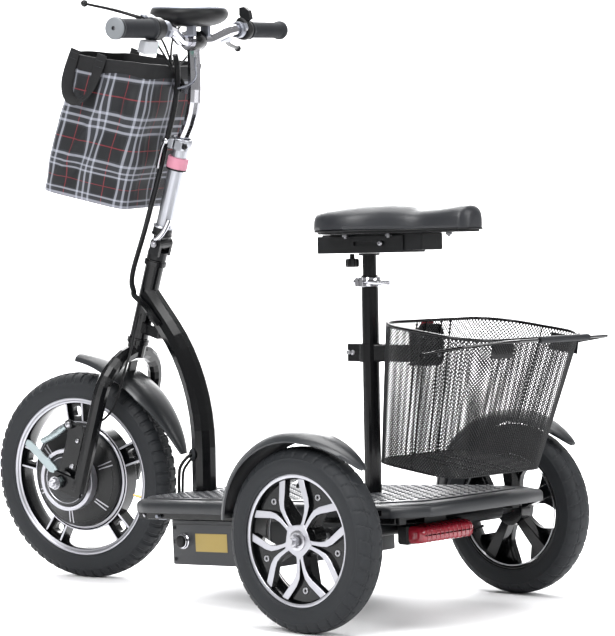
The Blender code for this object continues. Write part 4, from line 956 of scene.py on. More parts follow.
def tail_light():
    """A red cover with upright ribs."""
    rings = []
    for y, half, low, high in ((0.0463, 0.078, 0.131, 0.163), (0.06, 0.0775, 0.1315, 0.1625),
        (0.068, 0.075, 0.133, 0.16), (0.0725, 0.071, 0.1355, 0.157), (0.074, 0.064, 0.1385, 0.154)):
        rings.append([(p.x, y, p.y) for p in corner_outline(half, low, high, 0.009, 6, 6)])
    piece("tail_light_cover", loft(rings), BASE, "frame", RED, ["tail_light_lens"], smooth=40)
    ribs = []
    for i in range(11):
        x = -0.06 + 0.012 * i
        ribs.append(tube([(x, 0.0462, 0.1628), (x, 0.0662, 0.1612), (x, 0.0736, 0.1545), (x, 0.0736, 0.1385),
            (x, 0.069, 0.1335)], 0.0009, 8, 4))
    piece("tail_light_ribs", ribs, BASE, "frame", RED)


deck()
battery_box()
fenders()
tail_light()


# ---- saddle and its slide -----------------------------------------------------------------------
# half widths, evenly spaced from the broad end to the nose
SADDLE_WIDTHS = (0.062, 0.104, 0.1185, 0.1225, 0.1205, 0.111, 0.092, 0.064, 0.0455, 0.0405, 0.0385, 0.0365,
    0.03)


def saddle_half(t):
    """The half width that SADDLE_WIDTHS gives, t of the way from the broad end to the nose."""
    place = t * (len(SADDLE_WIDTHS) - 1)
    return float(np.interp(place, range(len(SADDLE_WIDTHS)), SADDLE_WIDTHS))


def saddle_half_smooth(t):
    """The outline's half width, averaged over a short stretch so that it has no corners."""
    spread = [saddle_half(min(1, max(0, t + step))) for step in (-0.05, -0.025, 0, 0.025, 0.05)]
    return sum(spread) / 5 * math.sqrt(max(0.0, min(1.0, (t + 0.004) / 0.085))) ** 0.8 * min(1.0,
        (1.012 - t) / 0.05) ** 0.45


def saddle():
    """A moulded foam pad under vinyl: a broad crowned part, a low narrow nose and a welted lower edge."""
    first, last, along, across = -0.171, 0.145, 56, 28
    low = 0.6778
    rings = []
    for i in range(along + 1):
        t = (1 - math.cos(math.pi * i / along)) / 2 * 0.35 + 0.65 * i / along
        half = max(0.012, saddle_half_smooth(t))
        y = first + (last - first) * t
        rise = float(np.interp(t, (0, 0.03, 0.08, 0.2, 0.4, 0.52, 0.6, 0.665, 0.8, 0.93, 0.975, 1.0),
            (0.03, 0.04, 0.044, 0.048, 0.0505, 0.0485, 0.044, 0.0372, 0.0386, 0.042, 0.04, 0.03)))
        ring = []
        for k in range(across + 1):
            a = math.pi * k / across
            x = -math.cos(a)
            h = math.sin(a) ** 0.42
            dip = 0.0035 * math.exp(-(x / 0.16) ** 2) * min(1.0, max(0.0, (0.95 - t) * 4))
            flare = 1 + 0.035 * (1 - h) * (h > 0)
            ring.append((x * half * min(1.0, 0.955 * flare + 0.02), y, low + 0.0015 + (rise - dip) * h))
        under = [(x * 0.97, y, low) for x, y, z in (ring[-1], ring[0])]
        rings.append(ring + under)
    pad = piece("saddle_pad", loft(rings), BASE, "saddle_carriage", VINYL, ["saddle"], smooth=70,
                subdivide=1)
    edge = [Vector((ring[0][0] * 0.995, ring[0][1], low + 0.0012)) for ring in rings]
    edge += [Vector((-p.x, p.y, p.z)) for p in reversed(edge)]
    edge.append(edge[0])
    welt = tube(edge, 0.0016, 8, 1)
    piece("saddle_welt", welt, BASE, "saddle_carriage", PLASTIC, smooth=60)
    pan = [[(x * 0.93, y * 0.97 - 0.0004, z) for x, y in [(ring[0][0], ring[0][1]) for ring in rings]
            + [(ring[-3][0], ring[-3][1]) for ring in reversed(rings)]] for z in (0.674, 0.6776)]
    piece("saddle_pan", loft(pan), BASE, "saddle_carriage", PLASTIC, smooth=30)
    studs = []
    for x, y in ((-0.04, -0.12), (0.04, -0.12), (-0.04, -0.02), (0.04, -0.02), (0.0, 0.085)):
        studs.append(nut((x, y, 0.6738), (0, 0, -1), 0.0058, 0.0048, 0.003))
    hardware("saddle_nuts", studs, BASE, "saddle_carriage")


def slide():
    """Stop bolts, end cap and knob of the saddle slide, and the post's clamp and collar."""
    bolts = [bolt((0.0321, -0.046, 0.657), (1, 0, 0), 0.005, 0.0028), bolt((-0.0321, -0.046, 0.657),
        (-1, 0, 0), 0.005, 0.0028)]
    hardware("slide_stop_bolts", bolts, BASE, "seat_mast")
    rubber = block((-0.0284, 0.0462, 0.6442), (0.0284, 0.0478, 0.6732))
    piece("slider_end_cap", rubber, BASE, "saddle_carriage", PLASTIC, bevel=0.0006)
    rings = []
    for share, z in ((0.7, 0.6148), (0.95, 0.6156), (1.0, 0.618), (1.0, 0.627), (0.93, 0.6298),
        (0.4, 0.6308), (0.38, 0.6392)):
        ring = []
        for angle in circle(72):
            lobe = 0.0112 + 0.0015 * math.cos(6 * angle)
            reach = lobe * share if share > 0.5 else 0.0118 * share
            ring.append((reach * math.cos(angle), -0.139 + reach * math.sin(angle), z))
        rings.append(ring)
    piece("slider_knob_grip", loft(rings), BASE, "slider_knob", PLASTIC, ["slider_knob"], smooth=50)
    collar = lathe([(0.0158, 0.579), (0.0158, 0.597), (0.0198, 0.597), (0.0207, 0.5955), (0.0207, 0.5805),
        (0.0198, 0.579)], 40)
    ears = [block((0.0185, 0.0012, 0.58), (0.0305, 0.0088, 0.596)), block((0.0185, -0.0088, 0.58),
        (0.0305, -0.0012, 0.596))]
    screw = [bar((0.0255, -0.0135, 0.588), (0.0255, 0.0165, 0.588), 0.0028, 14),
             nut((0.0255, -0.0088, 0.588), (0, -1, 0), 0.0058, 0.0045)]
    place = BASE @ shift(0, SEAT_AT, 0)
    piece("seat_clamp_collar", [collar, *ears, *screw], place, "frame", CHROME, ["seat_clamp"], bevel=0.0006)
    ring = lathe([(0.013, 0.0), (0.013, 0.004), (0.0186, 0.004), (0.0196, 0.003), (0.0196, 0.001),
                  (0.0186, 0.0)], 40)
    piece("post_collar", moved(ring, shift(0, 0, 0.6357)), place, "seat_mast", SATIN)


saddle()
slide()


# ---- front bag ----------------------------------------------------------------------------------
# from the floor up: half width, front, rear, and the heights of the front and the rear
BAG_LEVELS = ((0.088, -0.247, -0.046, 0.53, 0.549), (0.095, -0.244, -0.046, 0.6, 0.617),
              (0.099, -0.236, -0.046, 0.7, 0.717), (0.101, -0.234, -0.046, 0.805, 0.829))
BAG_ACROSS = 168  # points round the bag
BAG_ROUND = 0.63  # metres round it
BAG_UP = 78  # rows up its wall
BAG_HIGH = 0.273  # metres up its wall


def hump(value, centre, width):
    return math.exp(-((value - centre) / width) ** 2)


def bag_level(share):
    """The bag's half width, front, rear and the heights of its front and rear, share of the way up."""
    place = share * 3
    low = min(int(place), 2)
    blend = place - low
    return [a + (b - a) * blend for a, b in zip(BAG_LEVELS[low], BAG_LEVELS[low + 1])]


def bag_ring(share):
    """One level of the bag's plain shape, and each point's way round it."""
    half, front, rear, front_z, rear_z = bag_level(share)
    outline = corner_outline(half - 0.003, front + 0.003, rear - 0.002, 0.022, 8, 34)
    steps = np.array([(p.x, p.y) for p in outline + outline[:1]])
    lengths = np.concatenate([[0], np.cumsum(np.linalg.norm(np.diff(steps, axis=0), axis=1))])
    where = np.arange(BAG_ACROSS) / BAG_ACROSS * lengths[-1]
    x, y = np.interp(where, lengths, steps[:, 0]), np.interp(where, lengths, steps[:, 1])
    z = front_z + (rear_z - front_z) * (y - front) / (rear - front)
    return np.stack([x, y, z], -1), where


def creases(x, y, z, share):
    """How far the cloth stands out of its plain shape, in metres: folds, dents and soft waves."""
    out = 0.0
    if x > 0:
        ridge = -0.222 + (share - 0.02) * 0.105 + 0.03 * max(0.0, share - 0.35) ** 0.8
        out += 0.0055 * hump(y, ridge, 0.0085) * min(1.0, share * 6) * max(0.0,
            1 - max(0.0, share - 0.6) * 3.2)
        out -= 0.006 * hump(y, ridge + 0.026, 0.016) * min(1.0, share * 4) * max(0.0,
            1 - max(0.0, share - 0.55) * 3)
        out += 0.003 * math.sin(62 * z + 9 * y) * hump(y, -0.066, 0.026) * min(1.0, (1 - share) * 6)
        out -= 0.0045 * hump(y, -0.095, 0.012) * hump(share, 0.74, 0.15)
        out += 0.004 * hump(y, -0.073, 0.01) * hump(share, 0.66, 0.2)
        out -= 0.005 * hump(y, -0.215, 0.018) * hump(share, 0.8, 0.1)
    else:
        out += 0.0045 * hump(y, -0.15 + 0.09 * share, 0.012) * hump(share, 0.45, 0.3)
        out -= 0.004 * hump(y, -0.115 + 0.05 * share, 0.018) * hump(share, 0.5, 0.3)
    out += 0.004 * hump(x, 0.035 - 0.05 * share, 0.013) * (y < -0.2) * hump(share, 0.5, 0.33)
    out -= 0.005 * hump(x, -0.01 + 0.03 * share, 0.022) * (y < -0.2) * hump(share, 0.55, 0.33)
    belly = math.sin(math.pi * min(1.0, share * 1.05)) ** 0.8
    out += 0.004 * belly * (1 - abs(y + 0.14) / 0.14) * (abs(x) > 0.05)
    out += 0.0012 * math.sin(31 * z + 44 * y + 17 * x) * math.sin(23 * x - 38 * y + 12 * z)
    out += 0.0006 * math.sin(97 * z + 61 * y) * math.sin(83 * x + 71 * y - 29 * z)
    return out * min(1.0, (1 - share) * 9 + 0.12)


def bag_wall(share, proud=0.0):
    """One level of the creased cloth, standing proud by a distance, and each point's way round it."""
    ring, where = bag_ring(share)
    tangent = np.roll(ring, -1, axis=0) - np.roll(ring, 1, axis=0)
    outward = np.stack([tangent[:, 1], -tangent[:, 0], np.zeros(len(ring))], -1)
    outward /= np.linalg.norm(outward, axis=1, keepdims=True)
    made = []
    for place, way in zip(ring, outward):
        out = creases(place[0], place[1], place[2], share) + proud
        lift = 0.0022 * math.sin(26 * place[1] + 31 * place[0]) * share ** 6
        made.append(Vector(place + way * out) + Vector((0, 0, lift)))
    return made, where


def cloth_uv(mesh, values):
    """Gives each corner its place on the flat cloth, in metres, across the seam too."""
    layer = mesh.uv_layers.new(name="cloth")
    for polygon in mesh.polygons:
        corners = [values[mesh.loops[i].vertex_index] for i in polygon.loop_indices]
        wraps = max(c[0] for c in corners) - min(c[0] for c in corners) > 0.2
        for i, (u, v) in zip(polygon.loop_indices, corners):
            layer.data[i].uv = (u + (BAG_ROUND if wraps and u < 0.2 else 0), v)


def bag():
    """The hung plaid bag with its floor, hem, handles, stitches and hanger strap."""
    points, values = [], []
    floor_rings = 14
    for i in range(floor_rings):
        inset = 1 - i / floor_rings
        ring, where = bag_ring(0.0)
        middle = ring.mean(axis=0)
        for place, along in zip(ring, where):
            flat = middle + (place - middle) * (1 - inset * 0.985)
            sag = 0.012 * math.cos(math.pi / 2 * (1 - inset)) + 0.003
            points.append(Vector(flat) - Vector((0, 0, sag)))
            values.append((along, -0.086 * inset))
    for i in range(BAG_UP + 1):
        share = i / BAG_UP
        ring, where = bag_wall(share)
        soft = 0.003 * (1 - min(1.0, share / 0.03)) ** 2
        for place, along in zip(ring, where):
            points.append(place - Vector((place.x * soft * 8, 0, soft)))
            values.append((along, share * BAG_HIGH))
    faces = grid_faces(floor_rings + BAG_UP + 1, BAG_ACROSS)
    faces.append(tuple(range(BAG_ACROSS)))
    made = piece("bag_cloth", (points, faces), STEER, "stem_bar", [PLAID, WEB], ["front_bag"], smooth=80)
    cloth_uv(made.data, values)
    made.data.uv_layers.active = made.data.uv_layers["cloth"]
    thick = made.modifiers.new("cloth", "SOLIDIFY")
    thick.thickness = 0.0012
    thick.offset = -1.0 if made.data.polygons[0].normal.z < 0 else 1.0
    thick.material_offset = 1

    # a bound hem round the mouth, folded over it
    rings = []
    for share, proud in ((0.925, 0.0004), (0.925, 0.0016), (0.95, 0.0021), (0.985, 0.0022), (1.0, 0.0016),
        (1.0, -0.003), (0.985, -0.004), (0.94, -0.0034), (0.94, -0.0014)):
        ring = bag_wall(share, proud)[0]
        dip = 0.0035 if share == 0.925 else 0.0
        top = 0.003 if share == 1.0 else 0.0
        rings.append([p + Vector((0, 0, top - dip * math.sin(40 * p.y + 25 * p.x))) for p in ring])
    on_bag = [piece("bag_hem", [(([p for ring in rings for p in ring]), grid_faces(len(rings), BAG_ACROSS,
        wrap_rows=True))], STEER, "stem_bar", WEB, smooth=60)]

    # a webbing handle hangs in a loop on each side
    for side, label in ((1, "left"), (-1, "right")):
        def face_at(y, z):
            share = min(1.0, max(0.0, (z - 0.532 - (y + 0.236) * 0.1) / 0.279))
            half = bag_level(share)[0] - 0.003
            return half + creases(side, y, z, share)
        path = [(-0.2165, 0.818), (-0.218, 0.795), (-0.2195, 0.77), (-0.217, 0.748), (-0.206, 0.729),
                (-0.19, 0.722), (-0.174, 0.727), (-0.163, 0.742), (-0.158, 0.762), (-0.1555, 0.79),
                (-0.154, 0.824)]
        lifts = (0.004, 0.007, 0.011, 0.013, 0.014, 0.014, 0.014, 0.013, 0.01, 0.007, 0.004)
        centre = smooth_path([(face_at(y, z) + lift, y, z) for (y, z), lift in zip(path, lifts)], 6)
        rows = []
        for i, place in enumerate(centre):
            ahead = (centre[min(i + 1, len(centre) - 1)] - centre[max(i - 1, 0)]).normalized()
            share = i / (len(centre) - 1)
            twist = math.sin(math.pi * share) ** 2
            across = Vector((math.sin(twist), ahead.z * math.cos(twist),
                -ahead.y * math.cos(twist))).normalized()
            through = ahead.cross(across).normalized()
            section = [across * (0.0115 * math.cos(a)) + through * (0.0011 * math.sin(a))
                       for a in circle(16)]
            rows.append([Vector((side * (place + s).x, (place + s).y, (place + s).z)) for s in section])
        on_bag.append(piece(f"bag_handle_{label}", loft(rows), STEER, "stem_bar", WEB, smooth=60))
        stitches = []
        for y in (-0.2165, -0.154):
            for z in (0.8, 0.812):
                spot = (side * (face_at(y, z) + 0.009), y, z)
                stitches.append(bar((spot[0], spot[1] - 0.008, spot[2]), (spot[0], spot[1] + 0.008, spot[2]),
                    0.0006, 6))
        on_bag.append(piece(f"bag_stitching_{label}", stitches, STEER, "stem_bar", GRIP))
    cord = tube([(0, -0.046, 0.812), (0.002, -0.03, 0.806), (0.0, -0.0235, 0.797)], 0.006, 12, 6, flat=0.5)
    on_bag.append(piece("bag_hanger_strap", cord, STEER, "stem_bar", WEB))


bag()


# ---- fork, brake and folding column -------------------------------------------------------------
def brake():
    """The drum's fixed plate, the torque plate, the pull arm with its adjuster, and the axle nuts."""
    plate = lathe([(0.0, 0.069), (0.0522, 0.069), (0.0522, 0.0705), (0.05, 0.0718), (0.04, 0.0722),
        (0.0385, 0.0735), (0.02, 0.074), (0.016, 0.0775), (0.014, 0.0785), (0.0, 0.0785)], 64, whole=False)
    bosses = [bolt(polar(0.04, a, 0.072), (0, 0, 1), 0.004, 0.0024) for a in (70, 200, 250)]
    piece("brake_plate_face", [plate, *bosses], FRONT_HUB, "steering", STEEL_GREY, ["brake_plate"],
          smooth=32)
    ring = lathe([(0.0452, 0.0721), (0.0462, 0.0727), (0.047, 0.0721)], 64)
    piece("brake_plate_edge", ring, FRONT_HUB, "steering", MACHINED)
    outline = [(-0.07, -0.002), (-0.066, -0.01), (-0.04, -0.0105), (-0.03, -0.004), (-0.03, 0.088),
               (-0.036, 0.102), (-0.062, 0.1045), (-0.068, 0.098), (-0.066, 0.05)]
    torque = moved(slab(outline, 0.0724, 0.0752), Matrix(((0, 0, 1, 0), (1, 0, 0, 0), (0, 1, 0, 0),
        (0, 0, 0, 1))))
    boss = bar((0.0755, -0.065, 0.097), (0.0835, -0.065, 0.097), 0.0095, 28)
    piece("torque_plate", [torque, boss], STEER, "steering", GLOSS, bevel=0.0008)
    heads = [bolt((0.0835, -0.065, 0.097), (1, 0, 0), 0.006, 0.0035), bolt((0.0752, -0.04, 0.016), (1, 0, 0),
        0.0055, 0.003), bolt((0.0752, -0.04, 0.07), (1, 0, 0), 0.0045, 0.003)]
    hardware("torque_plate_bolts", heads, STEER, "steering")
    adjuster = tube([(0.079, -0.118, 0.042), (0.079, -0.1, 0.058), (0.079, -0.083, 0.076),
        (0.079, -0.072, 0.09)], lambda t: 0.0058 + 0.0012 * (math.sin(t * 70) > 0) * (t < 0.8), 16, 16)
    piece("cable_adjuster", adjuster, STEER, "steering", ZINC, smooth=50)
    for side in (-1, 1):
        x = side * 0.1087
        ends = [nut((x, *HUB_AT), (side, 0, 0), 0.011, 0.0085, 0.006)]
        washer = moved(lathe([(0.0064, 0), (0.013, 0), (0.013, 0.0012), (0.0064, 0.0012)], 32),
            shift(x - side * 0.0004, *HUB_AT) @ ACROSS)
        piece(f"axle_nut_{'left' if side > 0 else 'right'}", [washer, *ends], STEER, "steering", BOLT,
              smooth=30)


def column():
    """Detail on the folding hinge, the rose collar, the stem clamp and its quick release."""
    pin = [nut((0.0258, 0.004, 0.488), (1, 0, 0), 0.0068, 0.004, 0.003), bolt((-0.0258, 0.004, 0.488),
        (-1, 0, 0), 0.0068, 0.0035)]
    hardware("fold_pin_ends", pin, STEER, "steering")
    lever = tube([(0.0265, 0.004, 0.497), (0.03, 0.012, 0.503), (0.031, 0.022, 0.52), (0.029, 0.027, 0.545)],
                 lambda t: 0.0042 * (1 + 0.25 * t), 12, 8, flat=0.7)
    piece("fold_latch_lever", lever, STEER, "column", CHROME, smooth=50)
    sleeve = lathe([(0.0157, 0.6402), (0.0195, 0.6402), (0.0206, 0.6412), (0.0206, 0.66), (0.02, 0.6616),
        (0.0176, 0.6628), (0.0157, 0.6628)], 48)
    piece("rose_collar", sleeve, STEER, "column", ROSE, ["column_collar"], smooth=35)
    lip = lathe([(0.0157, 0.6368), (0.0198, 0.6368), (0.0202, 0.6376), (0.0202, 0.64), (0.0157, 0.64)], 48)
    piece("collar_seal", lip, STEER, "column", PLASTIC, smooth=35)
    clamp = lathe([(0.0158, 0.6775), (0.019, 0.6775), (0.02, 0.679), (0.0203, 0.689), (0.02, 0.699),
        (0.019, 0.7004), (0.0158, 0.7004)], 48)
    ears = [block((0.017, 0.0015, 0.6795), (0.03, 0.019, 0.6985)), block((0.017, -0.013, 0.6795),
        (0.03, -0.0015, 0.6985))]
    piece("stem_clamp_body", [clamp, *ears], STEER, "column", ALLOY, ["stem_clamp"], bevel=0.0012)
    rod = [bar((0.0235, -0.0165, 0.69), (0.0235, 0.0225, 0.69), 0.0032, 14), nut((0.0235, 0.0192, 0.69),
        (0, 1, 0), 0.0062, 0.0052)]
    piece("stem_clamp_screw", rod, STEER, "column", PLASTIC, smooth=30)
    eye = moved(lathe([(0.003, -0.0045), (0.0078, -0.0045), (0.0086, -0.003), (0.0086, 0.003),
        (0.0078, 0.0045), (0.003, 0.0045)], 28), shift(0.0235, -0.0205, 0.69))
    piece("stem_lever_eye", eye, STEER, "stem_lever", CHROME, smooth=35)
    blade = tube([(0.024, -0.024, 0.688), (0.0255, -0.0262, 0.676), (0.0275, -0.0262, 0.655),
                  (0.0285, -0.0252, 0.634)], lambda t: 0.004 + 0.0022 * t, 14, 8, flat=0.55)
    piece("stem_lever_blade", blade, STEER, "stem_lever", CHROME, ["stem_clamp_lever"], smooth=50)
    rings = []
    for low in (0.2815, 0.4425):
        rings.append(lathe([(0.02, low), (0.0222, low + 0.001), (0.0222, low + 0.0095),
            (0.0205, low + 0.0112), (0.0186, low + 0.0112), (0.0186, low)], 40))
    piece("headset_cups", rings, HEAD, "frame", GLOSS, smooth=35)
    weld = lathe([(0.0196, 0.5036), (0.0206, 0.505), (0.0206, 0.5068), (0.0196, 0.508)], 40)
    piece("column_socket_weld", weld, STEER, "column", SATIN)
    lip = lathe([(0.0156, 0.52), (0.02, 0.52), (0.0208, 0.5215), (0.02, 0.524), (0.0156, 0.5248)], 40)
    piece("column_socket_lip", lip, STEER, "column", ALLOY)


# ---- handlebar ----------------------------------------------------------------------------------
BAR = STEER @ shift(0, GRIP_Y, GRIP_Z)


def grips():
    """Ribbed grips with a flange at each end; the left one is thicker."""
    for side, label in ((1, "left"), (-1, "right")):
        wide, inner = (0.0178, 0.1735) if side > 0 else (0.0158, 0.164)
        profile = [(0.0117, inner), (wide + 0.0025, inner), (wide + 0.0035, inner + 0.0015),
                   (wide + 0.0035, inner + 0.005), (wide + 0.001, inner + 0.0068), (wide, inner + 0.009)]
        count = 34
        for i in range(count):
            z = inner + 0.0115 + (0.279 - inner - 0.0115) * i / count
            profile += [(wide, z), (wide - 0.0005, z + 0.0009), (wide - 0.0005, z + 0.0019),
                        (wide, z + 0.0027)]
        profile += [(wide, 0.28), (wide + 0.0024, 0.2835), (wide + 0.003, 0.286), (wide + 0.003, 0.291),
                    (wide + 0.0016, 0.294), (wide - 0.001, 0.2952), (0.004, 0.2956), (0.0034, 0.295),
                    (0.003, 0.291), (0.0117, 0.2908)]
        turn = rotation("Y", 90 * side)

        def end_face(polygon):
            middle = polygon.calc_center_median()
            return 1 if middle.z > 0.2925 and middle.xy.length > 0.0038 else 0
        piece(f"grip_sleeve_{label}", lathe(profile, 48), BAR @ turn, "stem_bar", [GRIP, GRIP_END],
              [f"grip_{label}"], smooth=32, pick=end_face)
        plug = lathe([(0.0, 0.29), (0.0105, 0.29), (0.0105, 0.2909), (0.0, 0.2909)], 24, whole=False)
        piece(f"grip_plug_{label}", plug, BAR @ turn, "stem_bar", DARK_LENS)


def lever(side, label):
    """A forged lever with a ball end in its perch, rolled round the bar."""
    roll = math.radians(-14 if side > 0 else 38)
    place = BAR @ Matrix.Rotation(roll, 4, "X") @ shift(side * 0.149, -0.037, 0)
    route = [(0.0, 0.0, 0.0), (0.01, -0.0085, 0.0), (0.026, -0.0195, 0.0), (0.05, -0.0325, 0.0),
             (0.075, -0.042, 0.0), (0.1, -0.05, 0.0), (0.118, -0.056, 0.0)]
    route = [(side * x, y, z) for x, y, z in route]

    def thick(t):
        return float(np.interp(t, (0, 0.1, 0.22, 0.6, 0.9, 1.0), (0.0072, 0.0078, 0.0056, 0.005, 0.0044,
            0.004)))
    blade = tube(route, thick, 16, 8, flat=0.62, facing=(0, 0.3, 0.0))
    ball = moved(lathe([(0.0008, -0.0068), (0.004, -0.0056), (0.0064, -0.0026), (0.0068, 0.0),
        (0.0064, 0.0026), (0.004, 0.0056), (0.0008, 0.0068)], 20, whole=False), shift(side * 0.1205, -0.0568,
        0))
    pin = bar((0, 0, -0.0075), (0, 0, 0.0075), 0.0034, 16)
    paint = GLOSS if side > 0 else PLASTIC
    piece(f"brake_blade_{label}", [blade, ball, pin], place, f"brake_lever_{label}", paint,
          [f"brake_lever_{label}"], smooth=50)

    perch_place = BAR @ Matrix.Rotation(roll, 4, "X")
    band = moved(lathe([(0.0114, -0.0068), (0.0152, -0.0068), (0.0158, -0.006), (0.0158, 0.006),
        (0.0152, 0.0068), (0.0114, 0.0068)], 36), shift(side * 0.132, 0, 0) @ ACROSS)
    body = [(0.122, -0.0135), (0.122, -0.04), (0.125, -0.044), (0.13, -0.045), (0.156, -0.044),
            (0.1575, -0.04), (0.156, -0.032), (0.143, -0.029), (0.142, -0.0135)]
    top = slab([(side * x, y) for x, y in body], 0.005, 0.0078)
    under = slab([(side * x, y) for x, y in body], -0.0078, -0.005)
    near, far = sorted((side * 0.1225, side * 0.14))
    core = block((near, -0.043, -0.0052), (far, -0.0135, 0.0052))
    near, far = sorted((side * 0.1265, side * 0.1375))
    lug = block((near, 0.013, -0.006), (far, 0.0205, 0.006))
    piece(f"perch_body_{label}", [band, top, under, core, lug], perch_place, "stem_bar", CAST,
          [f"perch_{label}"], bevel=0.0009)
    barrel = [bar((side * 0.1228, -0.037, 0), (side * 0.113, -0.037, 0), 0.0046, 18),
              bar((side * 0.113, -0.037, 0), (side * 0.106, -0.037, 0), 0.0034, 16)]
    head = [bolt((side * 0.149, -0.037, 0.0078), (0, 0, 1), 0.0044, 0.0026),
            bolt((side * 0.132, 0.017, -0.006), (0, 0, -1), 0.0036, 0.003)]
    piece(f"perch_adjuster_{label}", [*barrel, *head], perch_place, "stem_bar", BOLT, smooth=32)


def switches():
    """The switch collar and pod on the left, the throttle housing and its lead on the right."""
    ring = moved(lathe([(0.0114, 0.15), (0.02, 0.15), (0.0214, 0.1512), (0.0214, 0.1715), (0.02, 0.173),
        (0.0114, 0.173)], 44), rotation("Y", 90))
    piece("switch_clamp", ring, BAR, "stem_bar", PLASTIC, smooth=35)
    pod = [(p.x, p.y) for p in corner_outline(0.0225, -0.009, 0.009, 0.0042, 5, 3)]
    rings = []
    for shrink, z in ((0.9, -0.0434), (0.98, -0.0422), (1.0, -0.0395), (1.0, -0.024), (0.96, -0.02)):
        rings.append([(0.1858 + x * shrink, 0.0105 + y * shrink, z) for x, y in pod])

    def green_end(polygon):
        return 1 if polygon.calc_center_median().x < 0.17 else 0
    piece("switch_body", loft(rings), BAR, "stem_bar", [WHITE, GREEN], ["switch_pod"], smooth=45,
          pick=green_end)
    keys = []
    for x, long, levels in ((0.1905, 0.0085, ((1.0, -0.0432), (1.0, -0.0446), (0.85, -0.0452))),
        (0.1722, 0.005, ((1.0, -0.0432), (1.0, -0.045), (0.8, -0.0458)))):
        keys.append(loft([[(x + long * k * math.cos(a), 0.0105 + 0.005 * k * math.sin(a), z)
            for a in circle(20)] for k, z in levels]))
    piece("switch_keys", keys, BAR, "stem_bar", PLASTIC, smooth=40)

    housing = []
    for x, r in ((-0.1438, 0.015), (-0.1445, 0.0178), (-0.1465, 0.0198), (-0.156, 0.0204), (-0.1592, 0.0194),
                 (-0.1602, 0.0165)):
        ring = []
        for angle in circle(40):
            reach = r * (1 + 0.28 * math.exp(-((angle - math.radians(120)) / 0.55) ** 2))
            ring.append((x, reach * math.cos(angle), reach * math.sin(angle)))
        housing.append(ring)
    piece("throttle_body", loft(housing), BAR, "stem_bar", PLASTIC, ["throttle_housing"], smooth=45)
    cable = tube([(-0.15, -0.016, -0.012), (-0.142, -0.03, -0.022), (-0.112, -0.034, -0.026),
                  (-0.07, -0.028, -0.03), (-0.034, -0.02, -0.036), (-0.02, -0.014, -0.06)], 0.0021, 10, 8)
    piece("throttle_lead", cable, BAR, "stem_bar", PLASTIC, smooth=60)


def display():
    """A round domed display with its bezel and bracket."""
    place = STEER @ shift(0, -0.0466, 0.9325) @ rotation("X", 14.8)
    body = [(0.0, 0.012), (0.0635, 0.012), (0.065, 0.0128), (0.0705, 0.0118), (0.0735, 0.0092),
            (0.0752, 0.0045), (0.0752, 0.001), (0.0735, -0.005), (0.069, -0.011), (0.06, -0.0168),
            (0.048, -0.0208), (0.03, -0.0234), (0.0, -0.0236)]
    piece("display_body", lathe(body, 72, whole=False), place, "stem_bar", PLASTIC, ["display_housing"],
          smooth=50)
    bezel = lathe([(0.064, 0.0128), (0.0654, 0.0144), (0.069, 0.0146), (0.0716, 0.013), (0.0728, 0.0108),
        (0.07, 0.011)], 72)
    piece("display_bezel", bezel, place, "stem_bar", CAST, smooth=50)
    lens = [(0.0, 0.0192), (0.018, 0.019), (0.036, 0.018), (0.05, 0.0164), (0.059, 0.0146), (0.0636, 0.013)]
    piece("display_glass", lathe(lens + [(0.0636, 0.0126), (0.0, 0.0126)], 72, whole=False), place,
          "stem_bar", DARK_LENS, ["display_lens"], smooth=60)
    legs = [block((0.0205, 0.012, -0.042), (0.03, 0.03, -0.018)), block((-0.03, 0.012, -0.042),
        (-0.0205, 0.03, -0.018)), block((-0.03, 0.004, -0.0222), (0.03, 0.03, -0.0195))]
    piece("display_bracket", legs, place, "stem_bar", CAST, bevel=0.001)


def stem_detail():
    """The bar clamp, and the leads round it."""
    centre = Vector((0, -0.024, 0.887))
    cap = moved(lathe([(0.0114, -0.0195), (0.0186, -0.0195), (0.0196, -0.018), (0.0196, 0.018),
        (0.0186, 0.0195), (0.0114, 0.0195)], 44), Matrix.Translation(centre) @ ACROSS)
    jaw = block((-0.0185, centre.y - 0.027, centre.z - 0.008), (0.0185, centre.y - 0.015, centre.z + 0.008))
    piece("bar_clamp_cap", [cap, jaw], STEER, "stem_bar", GLOSS, bevel=0.0012)
    heads = []
    for x in (-0.012, 0.012):
        heads.append(bolt((x, centre.y - 0.019, centre.z + 0.008), (0, 0, 1), 0.0042, 0.004))
        heads.append(bolt((x, centre.y - 0.019, centre.z - 0.008), (0, 0, -1), 0.0042, 0.004))
    hardware("bar_clamp_bolts", heads, STEER, "stem_bar")
    # thin leads loop from the levers and the display round the clamp and into the harness
    leads = [[(0.112, -0.05, 0.908), (0.085, -0.056, 0.896), (0.052, -0.055, 0.872), (0.032, -0.048, 0.845),
              (0.026, -0.04, 0.826)], [(-0.108, -0.04, 0.893), (-0.08, -0.052, 0.878),
        (-0.048, -0.054, 0.856), (-0.018, -0.05, 0.838), (0.012, -0.044, 0.826)],
        [(0.01, -0.055, 0.908), (0.02, -0.058, 0.88), (0.024, -0.052, 0.85), (0.024, -0.042, 0.826)],
        [(0.15, -0.012, 0.892), (0.12, -0.03, 0.88), (0.08, -0.046, 0.868), (0.046, -0.05, 0.848),
         (0.03, -0.042, 0.828)],]
    piece("control_leads", [tube(path, 0.0021, 10, 8) for path in leads], STEER, "stem_bar", PLASTIC,
          smooth=60)
    loop = [(0.004, -0.012, 0.862), (0.018, 0.002, 0.846), (0.019, 0.01, 0.826), (0.014, -0.004, 0.806),
            (0.016, -0.026, 0.792)]
    piece("brake_lead_loop", tube(loop, 0.0018, 10, 10), STEER, "stem_bar", CAST,
          smooth=60)


